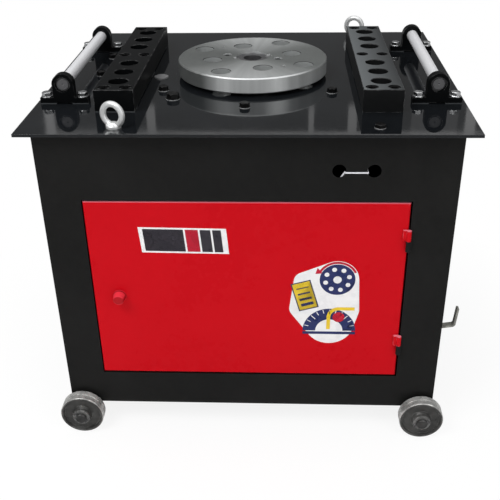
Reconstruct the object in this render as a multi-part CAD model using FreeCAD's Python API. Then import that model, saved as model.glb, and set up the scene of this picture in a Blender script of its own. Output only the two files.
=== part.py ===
import FreeCAD, Part
import math
import os

# Rebar bending machine: a wheeled sheet-steel cabinet with a thick table on top. A working disc
# turns on a spindle in the middle of the table and pulls the bar round pins that stand in its
# holes, while pins in the two hole bars beside it hold the bar back. The gearbox hangs under the
# table and a motor with two V-belts drives it.
# Sizes are in millimetres. +X is the right side, +Y is the back, +Z is up. The origin is on the
# floor, on the axis of the working disc.

# Table
TABLE_WIDTH = 900.0
TABLE_DEPTH = 770.0
TABLE_THICK = 6.0
TABLE_TOP = 746.0

# Cabinet sheet
OVERHANG = 27.0
CABINET_BOTTOM = 64.0
SHEET = 2.0
BASE_THICK = 4.0
ANGLE_LEG = 40.0
ANGLE_THICK = 4.0
BOTTOM_RAIL_HEIGHT = 40.0
TOP_RAIL_DROP = 40.0

# Door, its opening and its hinges
OPENING_SIDE_LEFT = 83.0
OPENING_SIDE_RIGHT = 89.0
OPENING_LOW = 150.0
OPENING_HIGH = 593.0
DOOR_GAP = 3.0
DOOR_GAP_AT_LATCH = 1.5
RETURN_DEPTH = 20.0
DOOR_CORNER = 5.0
HINGE_RADIUS = 5.0
HINGE_PIN_RADIUS = 2.5
HINGE_LENGTH = 24.0
HINGE_STANDOFF = 0.5
HINGE_INSET = 3.0
HINGE_INSET_LOW = 92.0
HINGE_INSET_HIGH = 87.0
HINGE_CAP = 2.0
HINGE_WELD_WIDTH = 5.0
HINGE_WELD_START = 2.0

# Turn latch
KNOB_INSET = 58.5
KNOB_Z = 362.5
KNOB_RADIUS = 11.5
KNOB_LENGTH = 27.0
KNOB_CHAMFER = 1.5
KNOB_NECK_RADIUS = 8.0
KNOB_NECK_LENGTH = 3.0
KNOB_FLANGE_RADIUS = 14.5
KNOB_FLANGE_THICK = 1.0
LATCH_STEM_RADIUS = 5.0
LATCH_COLLAR_RADIUS = 9.0
LATCH_CAM_REACH = 78.0
LATCH_CAM_WIDTH = 18.0
LATCH_CAM_THICK = 4.0
LATCH_GAP = 0.5

# Cable holes in the front, the strap between them and the cable hook
CABLE_HOLE_RADIUS = 14.0
CABLE_HOLE_INSETS = (239.6, 170.6)
CABLE_HOLE_Z = 659.7
STRAP_WIDTH = 5.0
STRAP_THICK = 1.3
STRAP_RIM_GAP = 1.5
STRAP_DROP = 3.2
STRAP_TAIL = 20.0
STRAP_SLANT = 57.0
STRAP_SLANT_LENGTH = 42.0
HOOK_THICK = 4.5
HOOK_WIDTH = 14.0
HOOK_LEVEL = 276.0
HOOK_INSET = 13.0
HOOK_REACH = 32.0
HOOK_RISE = 9.0
HOOK_UPRIGHT = 46.0
HOOK_LEAN = 5.0
HOOK_BEND = 9.0

# Wheels and axles
WHEEL_RADIUS = 50.0
WHEEL_WIDTH = 29.5
WHEEL_INSET = 28.0
WHEEL_CHAMFER = 2.0
WHEEL_RIM = 5.0
WHEEL_DISH = 6.0
WHEEL_HUB_RADIUS = 20.5
WHEEL_HUB_FLARE = 3.0
WHEEL_HUB_RISE = 4.0
WHEEL_GROOVE_WIDTH = 3.0
WHEEL_GROOVE_DEPTH = 1.2
AXLE_RADIUS = 12.5
AXLE_CHAMFER = 1.5
AXLE_STICKOUT = 7.0
WASHER_RADIUS = 19.5
WASHER_THICK = 3.0
INNER_WASHERS = 2
WASHER_GAP = 0.25
SPLIT_PIN_RADIUS = 2.0
SPLIT_PIN_LENGTH = 36.0
SPLIT_PIN_ANGLES = {"left": -40.0, "right": 25.0}
LUG_RADIUS = 19.0
LUG_LENGTH = 30.0

# Hole bars
BAR_INSET = 150.0
BAR_WIDTH = 82.0
BAR_LENGTH = 520.0
BAR_HEIGHT = 47.0
BAR_CHAMFER = 1.0
BAR_HOLE_PITCH = 67.0
BAR_HOLES_PER_SIDE = 3
BAR_RELIEF = 2.5
BAR_SEAT_MIDDLE = 20.0
BAR_SEAT_END = 35.0
BACKING_THICK = 15.0
PIN_HOLE_RADIUS = 21.0
PIN_HOLE_CHAMFER = 1.0

# Socket screws of the hole bars
BAR_SCREW_SIDE = 22.5
BAR_SCREW_END = 19.0
BAR_SCREW_RADIUS = 8.0
BAR_SCREW_HEAD_RADIUS = 12.0
BAR_SCREW_HEAD_HEIGHT = 16.0
BAR_SCREW_SINK = 18.0
COUNTERBORE_GAP = 1.25
SOCKET_FLATS = 14.0
SOCKET_DEPTH = 8.0

# Working disc
DISC_RADIUS = 170.0
DISC_THICK = 34.0
DISC_LIFT = 8.0
DISC_CHAMFER = 2.5
DISC_HOLE_PITCH = 93.5
DISC_TURN = 16.0
DISC_SCREW_CIRCLE = 60.8
DISC_SCREW_ANGLE = -15.5
DISC_SCREW_RADIUS = 6.0
DISC_SCREW_HEAD_RADIUS = 9.0
DISC_SCREW_BORE_RADIUS = 10.0
DISC_SCREW_SINK = 2.0
DISC_SCREW_HEAD_HEIGHT = 12.0
DISC_SCREW_SOCKET = 10.0
DISC_SCREW_SOCKET_DEPTH = 6.0
JACK_HOLE_CIRCLE = 106.0
JACK_HOLE_ANGLE = -47.5
JACK_HOLE_RADIUS = 5.0
JACK_HOLE_DEPTH = 20.0

# Spindle
SPINDLE_TOP_RADIUS = 37.5
SPINDLE_TOP_SINK = 3.0
SPINDLE_FLANGE_RADIUS = 75.0
SPINDLE_FLANGE_GAP = 1.0
SPINDLE_COLLAR_RADIUS = 37.0
SPINDLE_JOURNAL_RADIUS = 30.0
CENTRE_BORE_DEPTH = 60.0
KEY_WIDTH = 16.0
KEY_REACH = 44.0
KEY_ROOT = 31.0
KEY_BOTTOM = 6.0

# Rollers and their blocks
ROLLER_INSET = 33.0
ROLLER_HEIGHT = 41.0
ROLLER_RADIUS = 12.5
ROLLER_END_SINK = 3.0
ROLLER_CHAMFER = 1.0
ROLLER_CENTRE_MARK = 2.0
CLIP_RADIUS = 14.6
CLIP_THICK = 1.2
CLIP_GROOVE_DEPTH = 0.6
BLOCK_OUTER_Y = 208.0
BLOCK_THICK = 20.0
BLOCK_BOSS_RADIUS = 22.75
BLOCK_FOOT_WIDTH = 102.0
BLOCK_FOOT_HEIGHT = 13.0
BLOCK_FOOT_FILLET = 3.0
BLOCK_RELIEF_WIDTH = 34.0
BLOCK_RELIEF_HEIGHT = 2.5
BLOCK_SOCKET_RADIUS = 16.0
BLOCK_SOCKET_DEPTH = 7.0
BLOCK_BOLT_SPREAD = 38.0

# Hex fasteners: flats, head height, shank radius, washer radius, washer thickness
HEX_M12 = (18.5, 8.0, 6.0, 12.0, 2.5)
HEX_M16 = (24.0, 10.0, 8.0, 15.0, 3.0)
HEX_M10 = (16.0, 6.4, 5.0, 10.0, 2.0)
HEX_M8 = (13.0, 5.3, 4.0, 8.0, 1.6)
HOLE_GAP = 0.5

# Gearbox bolts on the table, in sight and behind the disc
LEFT_BOLT_INSET = 40.0
LEFT_BOLT_Y = -117.0
RIGHT_BOLT_INSET = 55.0
RIGHT_BOLT_Y = -132.0
FRONT_BOLT = (-8.0, -228.0)
REAR_BOLTS = ((-90.0, 208.0), (90.0, 208.0))
LARGE_BOLT_INSET = 68.0
LARGE_BOLT_Y = -173.0
GEARBOX_BOLT_DEPTH = 12.0

# Oil filler plug
PLUG_INSET = 22.0
PLUG_Y = -23.0
PLUG_RADIUS = 17.0
PLUG_HEIGHT = 3.0
PLUG_BEVEL = 1.0
PLUG_STEM_RADIUS = 10.0

# Eye bolts and cap screws near the corners of the table
LIFT_INSET_X = 164.0
LIFT_INSET_Y = 12.0
EYE_CENTRE_HEIGHT = 26.0
EYE_OUTER_RADIUS = 27.5
EYE_WIRE_RADIUS = 6.5
EYE_TURN = -24.0
EYE_COLLAR_RADIUS = 15.0
EYE_COLLAR_HEIGHT = 7.0
EYE_SHANK_RADIUS = 6.0
LIFT_SHANK_LENGTH = 27.0
CORNER_SCREW_SHANK_RADIUS = 8.0
CORNER_SCREW_RADIUS = 12.0
CORNER_SCREW_HEIGHT = 16.0

# Gear train. All shafts stand upright.
PRESSURE_ANGLE = 25.0
BACKLASH = 0.15
OUTPUT_MODULE = 4.0
OUTPUT_TEETH = 66
OUTPUT_PINION_TEETH = 12
INPUT_MODULE = 3.0
INPUT_GEAR_TEETH = 77
INPUT_PINION_TEETH = 14
OUTPUT_GEAR_LOW = 660.0
OUTPUT_GEAR_WIDTH = 44.0
INPUT_GEAR_LOW = 612.0
INPUT_GEAR_WIDTH = 30.0
PINION_EXTRA = 2.0
WEB_RECESS = 10.0
WEB_RIM = 14.0
OUTPUT_HUB_RADIUS = 48.0
INTERMEDIATE_HUB_RADIUS = 32.0
INTERMEDIATE_SHAFT_RADIUS = 18.0
INTERMEDIATE_JOURNAL_RADIUS = 15.0
INPUT_SHAFT_RADIUS = 15.0
INPUT_JOURNAL_RADIUS = 12.5
INPUT_END_RADIUS = 12.0
SHAFT_END_GAP = 0.5

# Bearings: outer radius and width, each on its shaft's journal
SPINDLE_BEARING = (55.0, 22.0)
INTERMEDIATE_BEARING = (31.0, 16.0)
INPUT_BEARING = (26.0, 15.0)

# Gearbox case and cover
COVER_THICK = 14.0
COVER_RADIUS = 240.0
COVER_SIDE_GAP = 1.0
COVER_LOBE_RADIUS = 22.0
COVER_PILOT_RADIUS = 60.0
COVER_PILOT_RISE = 5.5
COVER_BOSS_DROP = 18.0
BEARING_LIP = 8.0
BEARING_WALL = 9.0
CASE_WALL = 8.0
CASE_GEAR_GAP = 6.0
CASE_BOSS_GAP = 1.0
CASE_FLOOR_TOP = 600.0
CASE_FLOOR_THICK = 12.0
CASE_FLANGE_WIDTH = 18.0
CASE_FLANGE_THICK = 12.0
CASE_BOSS_BOTTOM = 570.0
FILLER_BAY_RADIUS = 21.0
CASE_BOLT_INSET = 9.0
CASE_BOLT_DEPTH = 12.0
SPINDLE_SIDE_BOLT_ANGLES = (-15.0, -50.0, -85.0, -118.0)
GEAR_SIDE_BOLT_ANGLES = (15.0, 55.0, 95.0, 134.0)
INPUT_SIDE_BOLT_ANGLE = 150.0
SEAL_GAP = 0.3

# Belt drive
MOTOR_INSET = 140.0
MOTOR_Y = -130.0
BELT_LEVEL = 538.0
BELT_SPACING = 19.0
BELT_TOP_WIDTH = 13.0
BELT_BOTTOM_WIDTH = 8.0
BELT_HEIGHT = 8.0
BELT_ABOVE_PITCH = 3.0
BELT_GAP = 0.3
GROOVE_EXTRA_DEPTH = 2.0
INPUT_PULLEY_PITCH_RADIUS = 120.0
MOTOR_PULLEY_PITCH_RADIUS = 40.0
PULLEY_WIDTH = 44.0
PULLEY_RIM = 16.0
PULLEY_WEB = 14.0
PULLEY_HUB_RADIUS = 30.0

# Motor
MOTOR_SHAFT_RADIUS = 14.0
MOTOR_CORE_RADIUS = 82.0
MOTOR_FIN_RADIUS = 95.0
MOTOR_FIN_THICK = 3.0
MOTOR_FINS = 20
MOTOR_LOW = 270.0
MOTOR_HIGH = 470.0
MOTOR_SHIELD_RADIUS = 90.0
MOTOR_SHIELD_HEIGHT = 18.0
MOTOR_PAD_WIDTH = 110.0
MOTOR_PAD_LOW = 295.0
MOTOR_PAD_HIGH = 445.0
TERMINAL_BOX_REACH = 40.0
TERMINAL_BOX_WIDTH = 90.0
TERMINAL_BOX_LOW = 345.0
TERMINAL_BOX_HIGH = 425.0
FAN_COVER_HEIGHT = 55.0
FAN_COVER_WALL = 2.0
FAN_RADIUS = 76.0
FAN_BLADES = 6
FAN_BLADE_HEIGHT = 24.0
FAN_BLADE_THICK = 3.0
FAN_HUB_RADIUS = 22.0
FAN_COVER_GAP = 8.0
AIR_HOLE_RADIUS = 9.0
AIR_HOLE_CIRCLE = 58.0
AIR_HOLES = 8

# Motor hanger under the table
HANGER_SIDE_GAP = 1.0
HANGER_THICK = 10.0
HANGER_FOOT_WIDTH = 60.0
HANGER_FOOT_BACK = 175.0
HANGER_FOOT_FRONT = -40.0
HANGER_FRONT = -225.0
HANGER_LOW = 240.0
HANGER_SHOULDER = 500.0
HANGER_RIB_DROP = 50.0
HANGER_RIB_THICK = 8.0
HANGER_BOLT_INSET = 27.0
HANGER_BOLTS_Y = (-5.0, 139.0)
MOTOR_BOLT_SPREAD_Y = 40.0
MOTOR_BOLT_SPREAD_Z = 55.0
MOTOR_SLOT_TRAVEL = 30.0
MOTOR_BOLT_DEPTH = 22.0

# Control box on the right side panel
CONTROL_BOX_DEPTH = 120.0
CONTROL_BOX_FRONT = -250.0
CONTROL_BOX_BACK = 50.0
CONTROL_BOX_LOW = 250.0
CONTROL_BOX_HIGH = 550.0
CONTROL_BOX_WALL = 2.0
CONTROL_LID_LIP = 10.0

# Running clearance of every shaft and pin in its bore
RUNNING_GAP = 0.05

# How near two measures are when they count as equal
NEAR = 0.01

# Heights and places that follow from the sizes above
TABLE_BOTTOM = TABLE_TOP - TABLE_THICK
CABINET_X = TABLE_WIDTH / 2 - OVERHANG
CABINET_Y = TABLE_DEPTH / 2 - OVERHANG
PANEL_LOW = CABINET_BOTTOM + BASE_THICK
INNER_X = CABINET_X - SHEET
INNER_Y = CABINET_Y - SHEET
OPENING_LEFT = -CABINET_X + OPENING_SIDE_LEFT
OPENING_RIGHT = CABINET_X - OPENING_SIDE_RIGHT
KNOB_X = OPENING_LEFT + KNOB_INSET
CABLE_HOLE_X = tuple(CABINET_X - inset for inset in CABLE_HOLE_INSETS)
HOOK_FRONT = -CABINET_Y + HOOK_INSET
WHEEL_X = CABINET_X - WHEEL_INSET
BAR_CENTRE_X = CABINET_X - BAR_INSET
ROLLER_X = CABINET_X - ROLLER_INSET
BAR_INNER_X = BAR_CENTRE_X - BAR_WIDTH / 2
LEFT_BOLT = (LEFT_BOLT_INSET - BAR_INNER_X, LEFT_BOLT_Y)
RIGHT_BOLT = (BAR_INNER_X - RIGHT_BOLT_INSET, RIGHT_BOLT_Y)
GEARBOX_BOLTS = (LEFT_BOLT, FRONT_BOLT, RIGHT_BOLT, *REAR_BOLTS)
LARGE_BOLT = (LARGE_BOLT_INSET - BAR_INNER_X, LARGE_BOLT_Y)
PLUG_X = PLUG_INSET - BAR_INNER_X
LIFT_X = CABINET_X - LIFT_INSET_X
LIFT_Y = CABINET_Y - LIFT_INSET_Y
BAR_TOP = TABLE_TOP + BAR_HEIGHT
DISC_LOW = TABLE_TOP + DISC_LIFT
DISC_TOP = DISC_LOW + DISC_THICK
DISC_SCREW_TOP = DISC_TOP - DISC_SCREW_SINK
SPINDLE_TOP = DISC_TOP - SPINDLE_TOP_SINK
FLANGE_LOW = TABLE_TOP + SPINDLE_FLANGE_GAP
COVER_LOW = TABLE_BOTTOM - COVER_THICK
BEARING_ROOF = TABLE_BOTTOM - BEARING_LIP
COVER_BOSS_LOW = COVER_LOW - COVER_BOSS_DROP
INTERMEDIATE_Y = OUTPUT_MODULE * (OUTPUT_TEETH + OUTPUT_PINION_TEETH) / 2
INPUT_X = -INPUT_MODULE * (INPUT_GEAR_TEETH + INPUT_PINION_TEETH) / 2
INPUT_Y = INTERMEDIATE_Y
OUTPUT_TIP_RADIUS = OUTPUT_MODULE * (OUTPUT_TEETH / 2 + 1)
INPUT_GEAR_TIP_RADIUS = INPUT_MODULE * (INPUT_GEAR_TEETH / 2 + 1)
CASE_INPUT_RADIUS = INPUT_BEARING[0] + BEARING_WALL + CASE_BOSS_GAP + CASE_WALL
HANGER_OUTER_X = -INNER_X + ANGLE_LEG + HANGER_SIDE_GAP
HANGER_BOLT_X = HANGER_OUTER_X + HANGER_BOLT_INSET
MOTOR_X = HANGER_OUTER_X + HANGER_THICK + MOTOR_INSET
HINGE_X = OPENING_RIGHT - HINGE_INSET
HINGE_LEVELS = (OPENING_LOW + HINGE_INSET_LOW, OPENING_HIGH - HINGE_INSET_HIGH)
HINGE_Y = -CABINET_Y - HINGE_RADIUS - HINGE_STANDOFF
WHEEL_BACK = CABINET_Y + INNER_WASHERS * WASHER_THICK + WASHER_GAP
WHEEL_FRONT = WHEEL_BACK + WHEEL_WIDTH
HUB_FRONT = WHEEL_FRONT + WHEEL_HUB_RISE
AXLE_END = HUB_FRONT + WASHER_GAP + WASHER_THICK + AXLE_STICKOUT
ROLLER_Z = TABLE_TOP + ROLLER_HEIGHT

V = FreeCAD.Vector
RIGHT = V(1, 0, 0)
BACK = V(0, 1, 0)
UP = V(0, 0, 1)


# Shape helpers
def block(x, y, z):
    """Box between two limits along each axis, each given as a (low, high) pair."""
    low_x, high_x = sorted(x)
    low_y, high_y = sorted(y)
    low_z, high_z = sorted(z)
    return Part.makeBox(high_x - low_x, high_y - low_y, high_z - low_z, V(low_x, low_y, low_z))


def around(centre, width):
    """Limits of a width that lies evenly about a centre."""
    return (centre - width / 2, centre + width / 2)


def post(radius, x, y, low, high):
    """Upright cylinder."""
    return Part.makeCylinder(radius, high - low, V(x, y, low), UP)


def rod(radius, start, end):
    """Cylinder between two points."""
    way = end.sub(start)
    return Part.makeCylinder(radius, way.Length, start, way)


def collar(outer, inner, x, y, low, high):
    """Upright ring."""
    return post(outer, x, y, low, high).cut(post(inner, x, y, low, high))


def fused(shapes):
    """One solid from shapes that touch or overlap."""
    first, *others = shapes
    return first.fuse(others).removeSplitter()


def prism(points, way):
    """Polygon given by its corner points, pushed along a vector."""
    corners = list(points) + [points[0]]
    return Part.Face(Part.makePolygon(corners)).extrude(way)


def turned(profile, x, y):
    """Solid of revolution about an upright axis, from (radius, height) points."""
    corners = [V(radius, 0, height) for radius, height in profile]
    face = Part.Face(Part.makePolygon(corners + [corners[0]]))
    solid = face.revolve(V(0, 0, 0), UP, 360)
    solid.translate(V(x, y, 0))
    return solid


def end_rims(bar, end_y):
    """Circular edges round both ends of a rod that lies along Y."""
    return [
        edge for edge in bar.Edges
        if edge.BoundBox.YLength < NEAR and abs(edge.BoundBox.YMin) > end_y - NEAR
    ]


def hexagon(flats, x, y, low, high):
    """Upright hexagonal prism."""
    reach = flats / math.sqrt(3)
    corners = [
        V(x + reach * math.cos(math.radians(60 * i)), y + reach * math.sin(math.radians(60 * i)), low)
        for i in range(6)
    ]
    return prism(corners, V(0, 0, high - low))


def polar(radius, degrees, x=0.0, y=0.0):
    """Point (x, y) at a radius and an angle about a centre."""
    angle = math.radians(degrees)
    return (x + radius * math.cos(angle), y + radius * math.sin(angle))


def hull(circles, low, high):
    """Upright solid whose outline is wrapped round circles given as (x, y, radius)."""
    pieces = [post(radius, x, y, low, high) for x, y, radius in circles]
    for i, (x1, y1, r1) in enumerate(circles):
        for x2, y2, r2 in circles[i + 1:]:
            aim = math.degrees(math.atan2(y2 - y1, x2 - x1))
            lean = math.degrees(math.acos((r1 - r2) / math.hypot(x2 - x1, y2 - y1)))
            tangents = [
                polar(r1, aim + lean, x1, y1),
                polar(r2, aim + lean, x2, y2),
                polar(r2, aim - lean, x2, y2),
                polar(r1, aim - lean, x1, y1),
            ]
            pieces.append(prism([V(x, y, low) for x, y in tangents], V(0, 0, high - low)))
    return fused(pieces)


def hex_bolt(size, x, y, seat, depth):
    """Hex bolt and its washer, standing on a seat height and reaching down by a depth."""
    flats, head, shank, washer_radius, washer = size
    bolt = hexagon(flats, x, y, seat + washer, seat + washer + head)
    bolt = fused([bolt, post(shank, x, y, seat - depth, seat + washer)])
    return [bolt, collar(washer_radius, shank, x, y, seat, seat + washer)]


def socket_screw(x, y, top, radii, head_height, low, socket):
    """Socket head screw with its head's top at a height, from radii (head, shank)."""
    head_radius, shank_radius = radii
    flats, depth = socket
    screw = fused([
        post(head_radius, x, y, top - head_height, top),
        post(shank_radius, x, y, low, top - head_height),
    ])
    return screw.cut(hexagon(flats, x, y, top - depth, top))


def involute(radius, base):
    """Polar angle that the involute of a base circle has run through at a radius."""
    angle = math.acos(min(1.0, base / radius))
    return math.tan(angle) - angle


def gear(module, teeth, x, y, low, high, phase, flank_steps):
    """Spur gear blank with one tooth centred on the phase angle, in degrees."""
    pitch = module * teeth / 2
    base = pitch * math.cos(math.radians(PRESSURE_ANGLE))
    tip = pitch + module
    root = pitch - 1.25 * module
    start = max(root, base)
    half = math.pi / (2 * teeth) - BACKLASH / (2 * pitch) + involute(pitch, base)
    flank = [(root, half - involute(start, base))] if root < base else []
    for step in range(flank_steps + 1):
        radius = start + (tip - start) * step / flank_steps
        flank.append((radius, half - involute(radius, base)))
    outline = [(radius, -angle) for radius, angle in flank]
    outline += [(radius, angle) for radius, angle in reversed(flank)]
    points = []
    for tooth in range(teeth):
        middle = phase + 360.0 * tooth / teeth
        for radius, angle in outline:
            points.append(V(*polar(radius, middle + math.degrees(angle), x, y), low))
    return prism(points, V(0, 0, high - low))


# Places that several pieces share
def disc_hole_places():
    """Centres of the disc's eight holes: a turned square grid without its middle."""
    places = []
    for column in (-1, 0, 1):
        for row in (-1, 0, 1):
            if column or row:
                radius = DISC_HOLE_PITCH * math.hypot(column, row)
                turn = math.degrees(math.atan2(row, column)) + DISC_TURN
                places.append(polar(radius, turn))
    return places


def disc_screw_places():
    return [polar(DISC_SCREW_CIRCLE, DISC_SCREW_ANGLE + turn) for turn in (0, 180)]


def bar_hole_rows():
    steps = range(1, BAR_HOLES_PER_SIDE + 1)
    return [side * step * BAR_HOLE_PITCH for side in (-1, 1) for step in steps]


def bar_screw_places(side):
    end = BAR_LENGTH / 2 - BAR_SCREW_END
    return [
        (side * BAR_CENTRE_X + lateral, y)
        for y in (-end, 0.0, end)
        for lateral in (-BAR_SCREW_SIDE, BAR_SCREW_SIDE)
    ]


def block_bolt_places(side, end):
    y = end * (BLOCK_OUTER_Y - BLOCK_THICK / 2)
    return [(side * ROLLER_X + spread, y) for spread in (-BLOCK_BOLT_SPREAD, BLOCK_BOLT_SPREAD)]


def eye_places():
    return [(-LIFT_X, -LIFT_Y), (LIFT_X, LIFT_Y)]


def corner_screw_places():
    return [(LIFT_X, -LIFT_Y), (-LIFT_X, LIFT_Y)]


def lift_holes():
    """Radius and centre of the holes that the eye bolts and the corner screws go through."""
    holes = [(EYE_SHANK_RADIUS, x, y) for x, y in eye_places()]
    return holes + [(CORNER_SCREW_SHANK_RADIUS, x, y) for x, y in corner_screw_places()]


def jack_hole_places():
    return [polar(JACK_HOLE_CIRCLE, JACK_HOLE_ANGLE + turn) for turn in (0, 180)]


def case_bolt_places():
    """Centres of the bolts round the gearbox flange."""
    spindle_ring = OUTPUT_TIP_RADIUS + CASE_GEAR_GAP + CASE_WALL + CASE_BOLT_INSET
    gear_ring = INPUT_GEAR_TIP_RADIUS + CASE_GEAR_GAP + CASE_WALL + CASE_BOLT_INSET
    input_ring = CASE_INPUT_RADIUS + CASE_BOLT_INSET
    places = [polar(spindle_ring, angle) for angle in SPINDLE_SIDE_BOLT_ANGLES]
    places += [polar(gear_ring, angle, 0, INTERMEDIATE_Y) for angle in GEAR_SIDE_BOLT_ANGLES]
    places.append(polar(input_ring, INPUT_SIDE_BOLT_ANGLE, INPUT_X, INPUT_Y))
    return places


# Table and what stands on it
def table_plate():
    plate = block(around(0, TABLE_WIDTH), around(0, TABLE_DEPTH), (TABLE_BOTTOM, TABLE_TOP))
    holes = [(COVER_PILOT_RADIUS, 0.0, 0.0)]
    holes += [(HEX_M12[2] + HOLE_GAP, x, y) for x, y in GEARBOX_BOLTS]
    holes.append((HEX_M16[2] + HOLE_GAP, *LARGE_BOLT))
    holes += [(HEX_M12[2] + HOLE_GAP, HANGER_BOLT_X, y) for y in HANGER_BOLTS_Y]
    holes += lift_holes()
    holes.append((PLUG_STEM_RADIUS, PLUG_X, PLUG_Y))
    for side in (-1, 1):
        holes += [(BAR_SCREW_RADIUS, x, y) for x, y in bar_screw_places(side)]
        for end in (-1, 1):
            holes += [(HEX_M12[2], x, y) for x, y in block_bolt_places(side, end)]
    return plate.cut([post(radius, x, y, TABLE_BOTTOM, TABLE_TOP) for radius, x, y in holes])


def pin_hole(x, y, low, high):
    """Cutter for a pin hole with a small chamfer at its mouth."""
    mouth = Part.makeCone(
        PIN_HOLE_RADIUS, PIN_HOLE_RADIUS + PIN_HOLE_CHAMFER, PIN_HOLE_CHAMFER,
        V(x, y, high - PIN_HOLE_CHAMFER), UP)
    return post(PIN_HOLE_RADIUS, x, y, low, high).fuse(mouth)


def hole_bar(side):
    x = side * BAR_CENTRE_X
    bar = block(around(x, BAR_WIDTH), around(0, BAR_LENGTH), (TABLE_TOP, BAR_TOP))
    top_edges = [edge for edge in bar.Edges if edge.BoundBox.ZMin > BAR_TOP - BAR_CHAMFER]
    bar = bar.makeChamfer(BAR_CHAMFER, top_edges)
    cuts = [pin_hole(x, y, TABLE_TOP, BAR_TOP) for y in bar_hole_rows()]
    for end in (-1, 1):
        relief = (end * BAR_SEAT_MIDDLE, end * (BAR_LENGTH / 2 - BAR_SEAT_END))
        cuts.append(block(around(x, BAR_WIDTH), relief, (TABLE_TOP, TABLE_TOP + BAR_RELIEF)))
    for screw_x, screw_y in bar_screw_places(side):
        cuts.append(post(BAR_SCREW_RADIUS, screw_x, screw_y, TABLE_TOP, BAR_TOP))
        bore = BAR_SCREW_HEAD_RADIUS + COUNTERBORE_GAP
        cuts.append(post(bore, screw_x, screw_y, BAR_TOP - BAR_SCREW_SINK, BAR_TOP))
    return bar.cut(cuts)


def hole_bar_screws():
    """Socket screws of both bars, twelve alike."""
    top = BAR_TOP - BAR_SCREW_SINK + BAR_SCREW_HEAD_HEIGHT
    radii = (BAR_SCREW_HEAD_RADIUS, BAR_SCREW_RADIUS)
    socket = (SOCKET_FLATS, SOCKET_DEPTH)
    low = TABLE_BOTTOM - BACKING_THICK
    places = bar_screw_places(-1) + bar_screw_places(1)
    return [socket_screw(x, y, top, radii, BAR_SCREW_HEAD_HEIGHT, low, socket) for x, y in places]


def backing_strips():
    """Tapped strips under the table that the bar screws draw up."""
    strips = []
    for side in (-1, 1):
        heights = (TABLE_BOTTOM - BACKING_THICK, TABLE_BOTTOM)
        strip = block(around(side * BAR_CENTRE_X, BAR_WIDTH), around(0, BAR_LENGTH), heights)
        strips.append(strip.cut([post(BAR_SCREW_RADIUS, x, y, *heights) for x, y in bar_screw_places(side)]))
    return strips


def roller_block(side, end):
    """Bearing block: a boss on a foot, with a socket round the roller's end in its outer face."""
    x = side * ROLLER_X
    outer = end * BLOCK_OUTER_Y
    inner = end * (BLOCK_OUTER_Y - BLOCK_THICK)
    foot_top = TABLE_TOP + BLOCK_FOOT_HEIGHT
    foot = block(around(x, BLOCK_FOOT_WIDTH), (inner, outer), (TABLE_TOP, foot_top))
    neck = block(around(x, 2 * BLOCK_BOSS_RADIUS), (inner, outer), (foot_top, ROLLER_Z))
    boss = rod(BLOCK_BOSS_RADIUS, V(x, inner, ROLLER_Z), V(x, outer, ROLLER_Z))
    shape = fused([foot, neck, boss])
    roots = [
        edge for edge in shape.Edges
        if abs(edge.BoundBox.ZMin - foot_top) < NEAR and abs(edge.BoundBox.ZMax - foot_top) < NEAR
        and edge.BoundBox.YLength > BLOCK_THICK / 2
        and abs(abs(edge.CenterOfMass.x - x) - BLOCK_BOSS_RADIUS) < NEAR
    ]
    shape = shape.makeFillet(BLOCK_FOOT_FILLET, roots)
    socket_floor = end * (BLOCK_OUTER_Y - BLOCK_SOCKET_DEPTH)
    cuts = [
        rod(ROLLER_RADIUS + RUNNING_GAP, V(x, inner, ROLLER_Z), V(x, outer, ROLLER_Z)),
        rod(BLOCK_SOCKET_RADIUS, V(x, socket_floor, ROLLER_Z), V(x, outer, ROLLER_Z)),
        block(around(x, BLOCK_RELIEF_WIDTH), (inner, outer), (TABLE_TOP, TABLE_TOP + BLOCK_RELIEF_HEIGHT)),
    ]
    cuts += [post(HEX_M12[2], bx, by, TABLE_TOP, foot_top) for bx, by in block_bolt_places(side, end)]
    return shape.cut(cuts)


def roller_block_bolts():
    seat = TABLE_TOP + BLOCK_FOOT_HEIGHT
    places = [place for side in (-1, 1) for end in (-1, 1) for place in block_bolt_places(side, end)]
    return [solid for x, y in places for solid in hex_bolt(HEX_M12, x, y, seat, seat - TABLE_BOTTOM)]


def roller(side):
    """Plain steel bar that a clip on each end keeps between its blocks."""
    x = side * ROLLER_X
    end_y = BLOCK_OUTER_Y - ROLLER_END_SINK
    bar = rod(ROLLER_RADIUS, V(x, -end_y, ROLLER_Z), V(x, end_y, ROLLER_Z))
    bar = bar.makeChamfer(ROLLER_CHAMFER, end_rims(bar, end_y))
    clips = []
    cuts = []
    for end in (-1, 1):
        near = V(x, end * (BLOCK_OUTER_Y - BLOCK_SOCKET_DEPTH + SEAL_GAP), ROLLER_Z)
        far = near + V(0, end * CLIP_THICK, 0)
        groove_floor = rod(ROLLER_RADIUS - CLIP_GROOVE_DEPTH, near, far)
        clips.append(rod(CLIP_RADIUS, near, far).cut(groove_floor))
        cuts.append(rod(CLIP_RADIUS, near, far).cut(groove_floor))
        centre = V(x, end * end_y, ROLLER_Z)
        cuts.append(Part.makeCone(ROLLER_CENTRE_MARK, 0, ROLLER_CENTRE_MARK, centre, V(0, -end, 0)))
    return [bar.cut(cuts)] + clips


def gearbox_bolts():
    """Hex bolts that hang the gearbox under the table, each with its washer."""
    depth = TABLE_THICK + GEARBOX_BOLT_DEPTH
    bolts = [solid for x, y in GEARBOX_BOLTS for solid in hex_bolt(HEX_M12, x, y, TABLE_TOP, depth)]
    return bolts + hex_bolt(HEX_M16, *LARGE_BOLT, TABLE_TOP, depth)


def hanger_bolts():
    depth = TABLE_THICK + HANGER_THICK
    return [
        solid for y in HANGER_BOLTS_Y
        for solid in hex_bolt(HEX_M12, HANGER_BOLT_X, y, TABLE_TOP, depth)
    ]


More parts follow.
